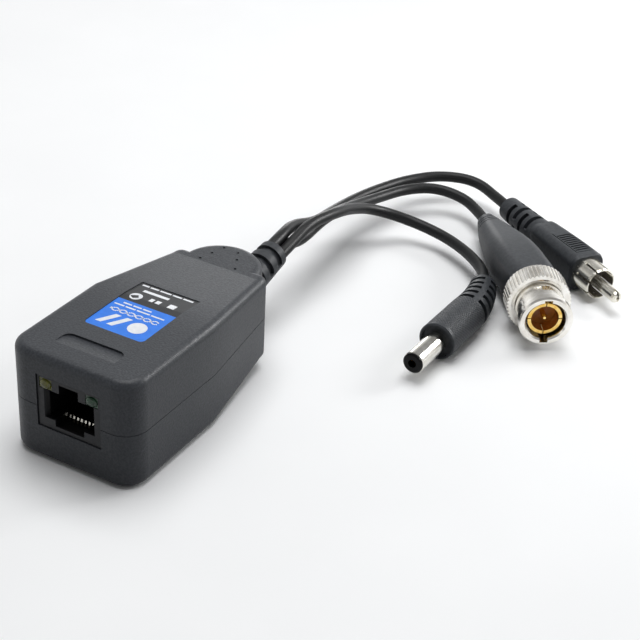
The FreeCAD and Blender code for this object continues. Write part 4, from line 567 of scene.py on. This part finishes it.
class BALUN_OT_case(bpy.types.Operator):
    """Finish the two case halves, the strain relief and the screws"""
    bl_idname = "balun.case"
    bl_label = "Case"

    def execute(self, context):
        looks = context.scene.balun_looks
        dress(moulded_abs(looks), "top_cover", "bottom_shell")
        dress(soft_pvc("soft_pvc_strain_relief", looks.grip_light, looks.grip_dark, roughness=0.5),
              "strain_relief_boot")
        # Zinc plate: a cool, bright metal with a soft shine
        dress(plain("zinc_plated_steel_screws", "#b9bcc0", "#9a9da1",
                    size_mm=0.8, roughness=0.3, metallic=1.0), "case_screws")
        return {"FINISHED"}


def label_height(along):
    """Height of the film's face at a distance from the socket face, mm."""
    fall = TOP_TAPER * max(0.0, along - TAPER_START)
    return CASE_TOP - LABEL_DEPTH + LABEL_FILM - fall


def lay_patch(shape, spots):
    """Drop a flat patch of print onto the film and give it a hair of thickness."""
    for spot in spots:
        along = spot.co.y / MM - CASE_FRONT
        spot.co.z = (label_height(along) - PRINT_SUNK) * MM
    faces = {face for spot in spots for face in spot.link_faces}
    lifted = bmesh.ops.extrude_face_region(shape, geom=list(faces))
    tops = [item for item in lifted["geom"] if isinstance(item, bmesh.types.BMVert)]
    bmesh.ops.translate(shape, verts=tops, vec=(0, 0, PRINT_THICK * MM))


def bar(shape, across, along, width, length, lean=0.0):
    """A bar of print around a point, mm from the middle and from the socket face."""
    spots = bmesh.ops.create_grid(shape, x_segments=1, y_segments=1, size=0.5)["verts"]
    bmesh.ops.scale(shape, verts=spots, vec=(width * MM, length * MM, 1))
    for spot in spots:
        spot.co.x += lean * spot.co.y
    bmesh.ops.translate(shape, verts=spots, vec=(across * MM, (CASE_FRONT + along) * MM, 0))
    lay_patch(shape, spots)


def disc(shape, across, along, radius):
    """A round spot of print."""
    spots = bmesh.ops.create_circle(shape, cap_ends=True, segments=SPOT_SIDES, radius=radius * MM)["verts"]
    bmesh.ops.translate(shape, verts=spots, vec=(across * MM, (CASE_FRONT + along) * MM, 0))
    lay_patch(shape, spots)


def print_rows(shape, rows):
    """Rows of words as bars; each word is its middle and its length."""
    for along, height, words in rows:
        for across, length in words:
            bar(shape, across, along, length, height)


def twisted_pair(shape):
    """Two wavy lines of print that cross at every half turn."""
    width = PAIR_LENGTH / PAIR_BARS * PAIR_OVERLAP
    for phase in (0.0, math.pi):
        for step in range(PAIR_BARS):
            across = PAIR_START + PAIR_LENGTH * (step + 0.5) / PAIR_BARS
            angle = phase + across * PAIR_TURN
            slope = PAIR_SWING * PAIR_TURN * math.cos(angle)
            bar(shape, across, PAIR_ALONG + PAIR_SWING * math.sin(angle), width,
                PAIR_LINE + PAIR_SLOPE * abs(slope))


def label_shapes(shape):
    """Plain shapes in the places of the print."""
    for values in FIGURE_BARS:
        bar(shape, *values)
    disc(shape, *FIGURE_SPOT)
    twisted_pair(shape)
    print_rows(shape, BLUE_ROWS)
    disc(shape, *EMBLEM_SPOT)
    for values in EMBLEM_BARS:
        bar(shape, *values)
    print_rows(shape, DARK_ROWS)


class BALUN_OT_label(bpy.types.Operator):
    """Lay the printed film in its recess, with plain shapes where the print is"""
    bl_idname = "balun.label"
    bl_label = "Label"

    def execute(self, context):
        dress(printed_film(context.scene.balun_looks), "label_panel")
        # Screen ink: a flat, opaque white
        ink = plain("white_screen_ink", "#eef0f3", "#e0e4ea", size_mm=1.5, roughness=0.5)
        shape = bmesh.new()
        label_shapes(shape)
        new_piece("label_print", to_mesh("label_print", shape), ink)
        return {"FINISHED"}


class BALUN_OT_socket(bpy.types.Operator):
    """Finish the network socket, its contacts and its two light pipes"""
    bl_idname = "balun.socket"
    bl_label = "Network socket"

    def execute(self, context):
        dress(socket_pbt(), "jack_housing", "jack_insert")
        dress(tinned_contacts(), "jack_contacts")
        yellow = tinted_lens("yellow_polycarbonate", "#8b8a10", "#6f6f0c")
        green = tinted_lens("green_polycarbonate", "#1b6138", "#124a2a")
        dress(yellow, "yellow_led")
        dress(green, "green_led")
        around, rings = LENS_FACES
        for name, across, lens, slot in (("yellow_lens_dome", -LENS_ACROSS, yellow, "yellow_lens"),
                                         ("green_lens_dome", LENS_ACROSS, green, "green_lens")):
            shape = bmesh.new()
            ball = bmesh.ops.create_uvsphere(shape, u_segments=around, v_segments=rings, radius=1.0)
            spots = ball["verts"]
            bmesh.ops.scale(shape, verts=spots, vec=tuple(part * MM for part in LENS_RADII))
            bmesh.ops.translate(shape, verts=spots, vec=(across * MM, LENS_FRONT * MM, LENS_HEIGHT * MM))
            new_piece(name, to_mesh(name, shape, SHARP_EDGE), lens)
        return {"FINISHED"}


class BALUN_OT_inside(bpy.types.Operator):
    """Finish the board and what it carries inside the case"""
    bl_idname = "balun.inside"
    bl_label = "Inside"

    def execute(self, context):
        # Solder mask on glass fibre: an even green with a slight gloss
        dress(plain("green_solder_mask_board", "#1f5a34", "#184a2a",
                    size_mm=3.0, roughness=0.4), "circuit_board")
        # Sintered ferrite: a matt, slightly gritty dark grey
        dress(plain("sintered_ferrite", "#3a3b3d", "#2d2e30",
                    size_mm=0.5, roughness=0.7), "ferrite_core")
        # Enamelled copper: a warm, bright red metal
        dress(plain("enamelled_copper_wire", "#b4612f", "#8f4a22",
                    size_mm=0.5, roughness=0.3, metallic=1.0), "balun_winding")
        # Glazed alumina: a smooth, creamy white
        dress(plain("glazed_alumina", "#e6e2d8", "#d8d2c4",
                    size_mm=1.0, roughness=0.35), "surge_arrester", "chip_resistors")
        # Dipped lacquer: a glossy brick red
        dress(plain("lacquered_film_capacitor", "#a8352b", "#8c2a22",
                    size_mm=1.5, roughness=0.3), "coupling_capacitors")
        # Wire insulation: smooth, evenly coloured soft plastic
        dress(plain("power_wire_insulation", "#b52020", "#951818",
                    size_mm=1.0, roughness=0.4), "dc_lead_wires")
        dress(plain("video_wire_insulation", "#d0a020", "#b58a18",
                    size_mm=1.0, roughness=0.4), "video_lead_wires")
        dress(plain("audio_wire_insulation", "#d8d8d8", "#bcbcbc",
                    size_mm=1.0, roughness=0.4), "audio_lead_wires")
        return {"FINISHED"}


class BALUN_OT_power_plug(bpy.types.Operator):
    """Finish the power plug"""
    bl_idname = "balun.power_plug"
    bl_label = "Power plug"

    def execute(self, context):
        looks = context.scene.balun_looks
        dress(nickel_plate("bright_nickel_sleeve"), "dc_plug_barrel")
        # Acetal: nearly black and hardly shiny
        dress(plain("black_acetal_insulator", "#0c0c0e", "#08080a",
                    size_mm=0.9, roughness=0.35, specular=0.15), "dc_plug_insulator")
        dress(gold_plate(), "dc_plug_contact")
        dress(soft_pvc("soft_pvc_power_grip", looks.grip_light, looks.grip_dark,
                       roughness=0.5, relief=power_hatch), "dc_plug_body")
        return {"FINISHED"}


class BALUN_OT_video_plug(bpy.types.Operator):
    """Finish the bayonet video plug"""
    bl_idname = "balun.video_plug"
    bl_label = "Video plug"

    def execute(self, context):
        looks = context.scene.balun_looks
        dress(nickel_plate("bright_nickel_nut", "#f6f4ef", "#e4e0d8", roughness=0.2), "bnc_coupling_nut")
        dress(gold_plate(), "bnc_body", "bnc_pin")
        # Rolled spring steel: a neutral grey metal with a soft shine
        dress(plain("spring_steel", "#b8b8b6", "#9c9c9a",
                    size_mm=0.8, roughness=0.28, metallic=1.0),
              "bnc_flat_washer", "bnc_wave_washer", "bnc_retaining_ring")
        # Moulded insulator: a warm amber with a slight gloss
        dress(plain("amber_insulator", "#a8641c", "#8f5212",
                    size_mm=1.2, roughness=0.35), "bnc_insulator")
        # Silicone rubber: a dull brick red
        dress(plain("red_silicone_seal", "#7c2a1c", "#652015",
                    size_mm=1.0, roughness=0.5), "bnc_gasket")
        dress(soft_pvc("soft_pvc_video_boot", looks.grip_light, looks.grip_dark, roughness=0.5), "bnc_boot")
        return {"FINISHED"}


class BALUN_OT_audio_plug(bpy.types.Operator):
    """Finish the phono audio plug"""
    bl_idname = "balun.audio_plug"
    bl_label = "Audio plug"

    def execute(self, context):
        looks = context.scene.balun_looks
        dress(nickel_plate("bright_nickel_phono", "#efece2", "#dcd8cc", roughness=0.24),
              "rca_pin", "rca_shell")
        # Phenolic resin: a dark brown with a slight gloss
        dress(plain("brown_phenolic_insulator", "#2c2119", "#221a14",
                    size_mm=0.9, roughness=0.4), "rca_insulator")
        dress(soft_pvc("soft_pvc_audio_grip", looks.grip_light, looks.grip_dark, roughness=0.5), "rca_body")
        return {"FINISHED"}


def shown_rays(tree):
    """1 for rays that show a surface: from the camera, a mirror or glass."""
    rays = add(tree, "ShaderNodeLightPath", {}, {})
    seen = add(tree, "ShaderNodeMath", {"operation": "MAXIMUM"}, {
        0: rays.outputs["Is Camera Ray"], 1: rays.outputs["Is Glossy Ray"]})
    return add(tree, "ShaderNodeMath", {"operation": "MAXIMUM"}, {
        0: seen.outputs[0], 1: rays.outputs["Is Transmission Ray"]}).outputs[0]


# Matt white paper: a pale, even sheet that keeps the object's shadow and fades into a white backdrop
def white_paper():
    material, tree, place = new_material("matt_white_paper")
    pale = add(tree, "ShaderNodeBsdfDiffuse", {}, {
        "Color": mottled(tree, place, "#fbfcfd", "#f9fafb", size_mm=40.0)})
    away = add(tree, "ShaderNodeVectorMath", {"operation": "LENGTH"}, {0: place})
    far = add(tree, "ShaderNodeMapRange", {"interpolation_type": "SMOOTHSTEP"}, {
        "Value": away.outputs["Value"], "From Min": BACKDROP_START, "From Max": BACKDROP_END})
    backdrop = add(tree, "ShaderNodeEmission", {}, {"Color": linear("#f9fafb"), "Strength": 1.0})
    shown = add(tree, "ShaderNodeMixShader", {}, {
        0: far.outputs["Result"], 1: pale.outputs[0], 2: backdrop.outputs[0]})
    # The sheet throws less light onto the object than its own pale colour would
    bounce = add(tree, "ShaderNodeBsdfDiffuse", {}, {"Color": linear("#6c6f74")})
    close(tree, add(tree, "ShaderNodeMixShader", {}, {
        0: shown_rays(tree), 1: bounce.outputs[0], 2: shown.outputs[0]}))
    return material


def lay_floor(scene):
    """Lay the sheet of paper under the object."""
    shape = bmesh.new()
    bmesh.ops.create_grid(shape, x_segments=1, y_segments=1, size=FLOOR_HALF)
    floor = bpy.data.objects.new("floor", to_mesh("floor", shape))
    scene.collection.objects.link(floor)
    floor.location.z = -FLOOR_DROP
    floor.data.materials.append(white_paper())


def surround(scene):
    """Surround the object with white light and a plain room that mirrors show."""
    world = bpy.data.worlds.new("white_surroundings")
    scene.world = world
    world.use_nodes = True
    tree = world.node_tree
    tree.nodes.clear()
    sky = add(tree, "ShaderNodeTexCoord", {}, {})
    way = add(tree, "ShaderNodeSeparateXYZ", {}, {"Vector": sky.outputs["Generated"]})
    light = add(tree, "ShaderNodeMapRange", {}, {
        "Value": way.outputs["Y"], "From Min": -1.0, "From Max": 1.0,
        "To Min": LIGHT_FRONT, "To Max": LIGHT_BACK})
    room = add(tree, "ShaderNodeMapRange", {}, {
        "Value": way.outputs["Z"], "From Min": BACKDROP_TOP, "From Max": CEILING_EDGE,
        "To Min": ROOM_BACKDROP, "To Max": ROOM_CEILING})
    lit, white = (add(tree, "ShaderNodeBackground", {}, {
        "Color": linear("#ffffff"), "Strength": strength.outputs[0]}) for strength in (light, room))
    mix = add(tree, "ShaderNodeMixShader", {}, {0: shown_rays(tree), 1: lit.outputs[0], 2: white.outputs[0]})
    add(tree, "ShaderNodeOutputWorld", {}, {"Surface": mix.outputs[0]})


def hang_lamp(scene, name, spot, aim, side, power, lights_matt):
    """Hang a square soft lamp that faces a point."""
    lamp = bpy.data.lights.new(name, "AREA")
    lamp.shape = "SQUARE"
    lamp.size = side
    lamp.energy = power
    holder = bpy.data.objects.new(name, lamp)
    scene.collection.objects.link(holder)
    holder.visible_diffuse = lights_matt
    holder.location = spot
    holder.rotation_mode = "QUATERNION"
    holder.rotation_quaternion = (Vector(aim) - Vector(spot)).to_track_quat("-Z", "Y")


class BALUN_OT_stage(bpy.types.Operator):
    """Set up the pale floor, the white surroundings and the soft lamps"""
    bl_idname = "balun.stage"
    bl_label = "Stage"

    def execute(self, context):
        scene = context.scene
        scene.view_settings.view_transform = "Standard"
        lay_floor(scene)
        surround(scene)
        for lamp in LAMPS:
            hang_lamp(scene, *lamp)
        return {"FINISHED"}


STEPS = (BALUN_OT_camera, BALUN_OT_cords, BALUN_OT_case, BALUN_OT_label, BALUN_OT_socket, BALUN_OT_inside,
         BALUN_OT_power_plug, BALUN_OT_video_plug, BALUN_OT_audio_plug, BALUN_OT_stage)


class BALUN_PT_panel(bpy.types.Panel):
    """Steps that dress the balun"""
    bl_idname = "BALUN_PT_panel"
    bl_label = "Video balun"
    bl_space_type = "VIEW_3D"
    bl_region_type = "UI"
    bl_category = "Balun"

    def draw(self, context):
        looks = context.scene.balun_looks
        for name in ("case_light", "case_dark", "grip_light", "grip_dark", "label_blue", "label_grey",
                     "label_border", "cord_diameter"):
            self.layout.prop(looks, name)
        for step in STEPS:
            self.layout.operator(step.bl_idname)


CLASSES = (BalunLooks,) + STEPS + (BALUN_PT_panel,)


def register():
    for item in CLASSES:
        bpy.utils.register_class(item)
    bpy.types.Scene.balun_looks = PointerProperty(type=BalunLooks)


def unregister():
    del bpy.types.Scene.balun_looks
    for item in reversed(CLASSES):
        bpy.utils.unregister_class(item)


def main():
    """Dress the part."""
    register()
    bpy.ops.balun.camera()
    bpy.ops.balun.cords()
    bpy.ops.balun.case()
    bpy.ops.balun.label()
    bpy.ops.balun.socket()
    bpy.ops.balun.inside()
    bpy.ops.balun.power_plug()
    bpy.ops.balun.video_plug()
    bpy.ops.balun.audio_plug()
    bpy.ops.balun.stage()


if __name__ == "__main__":
    main()
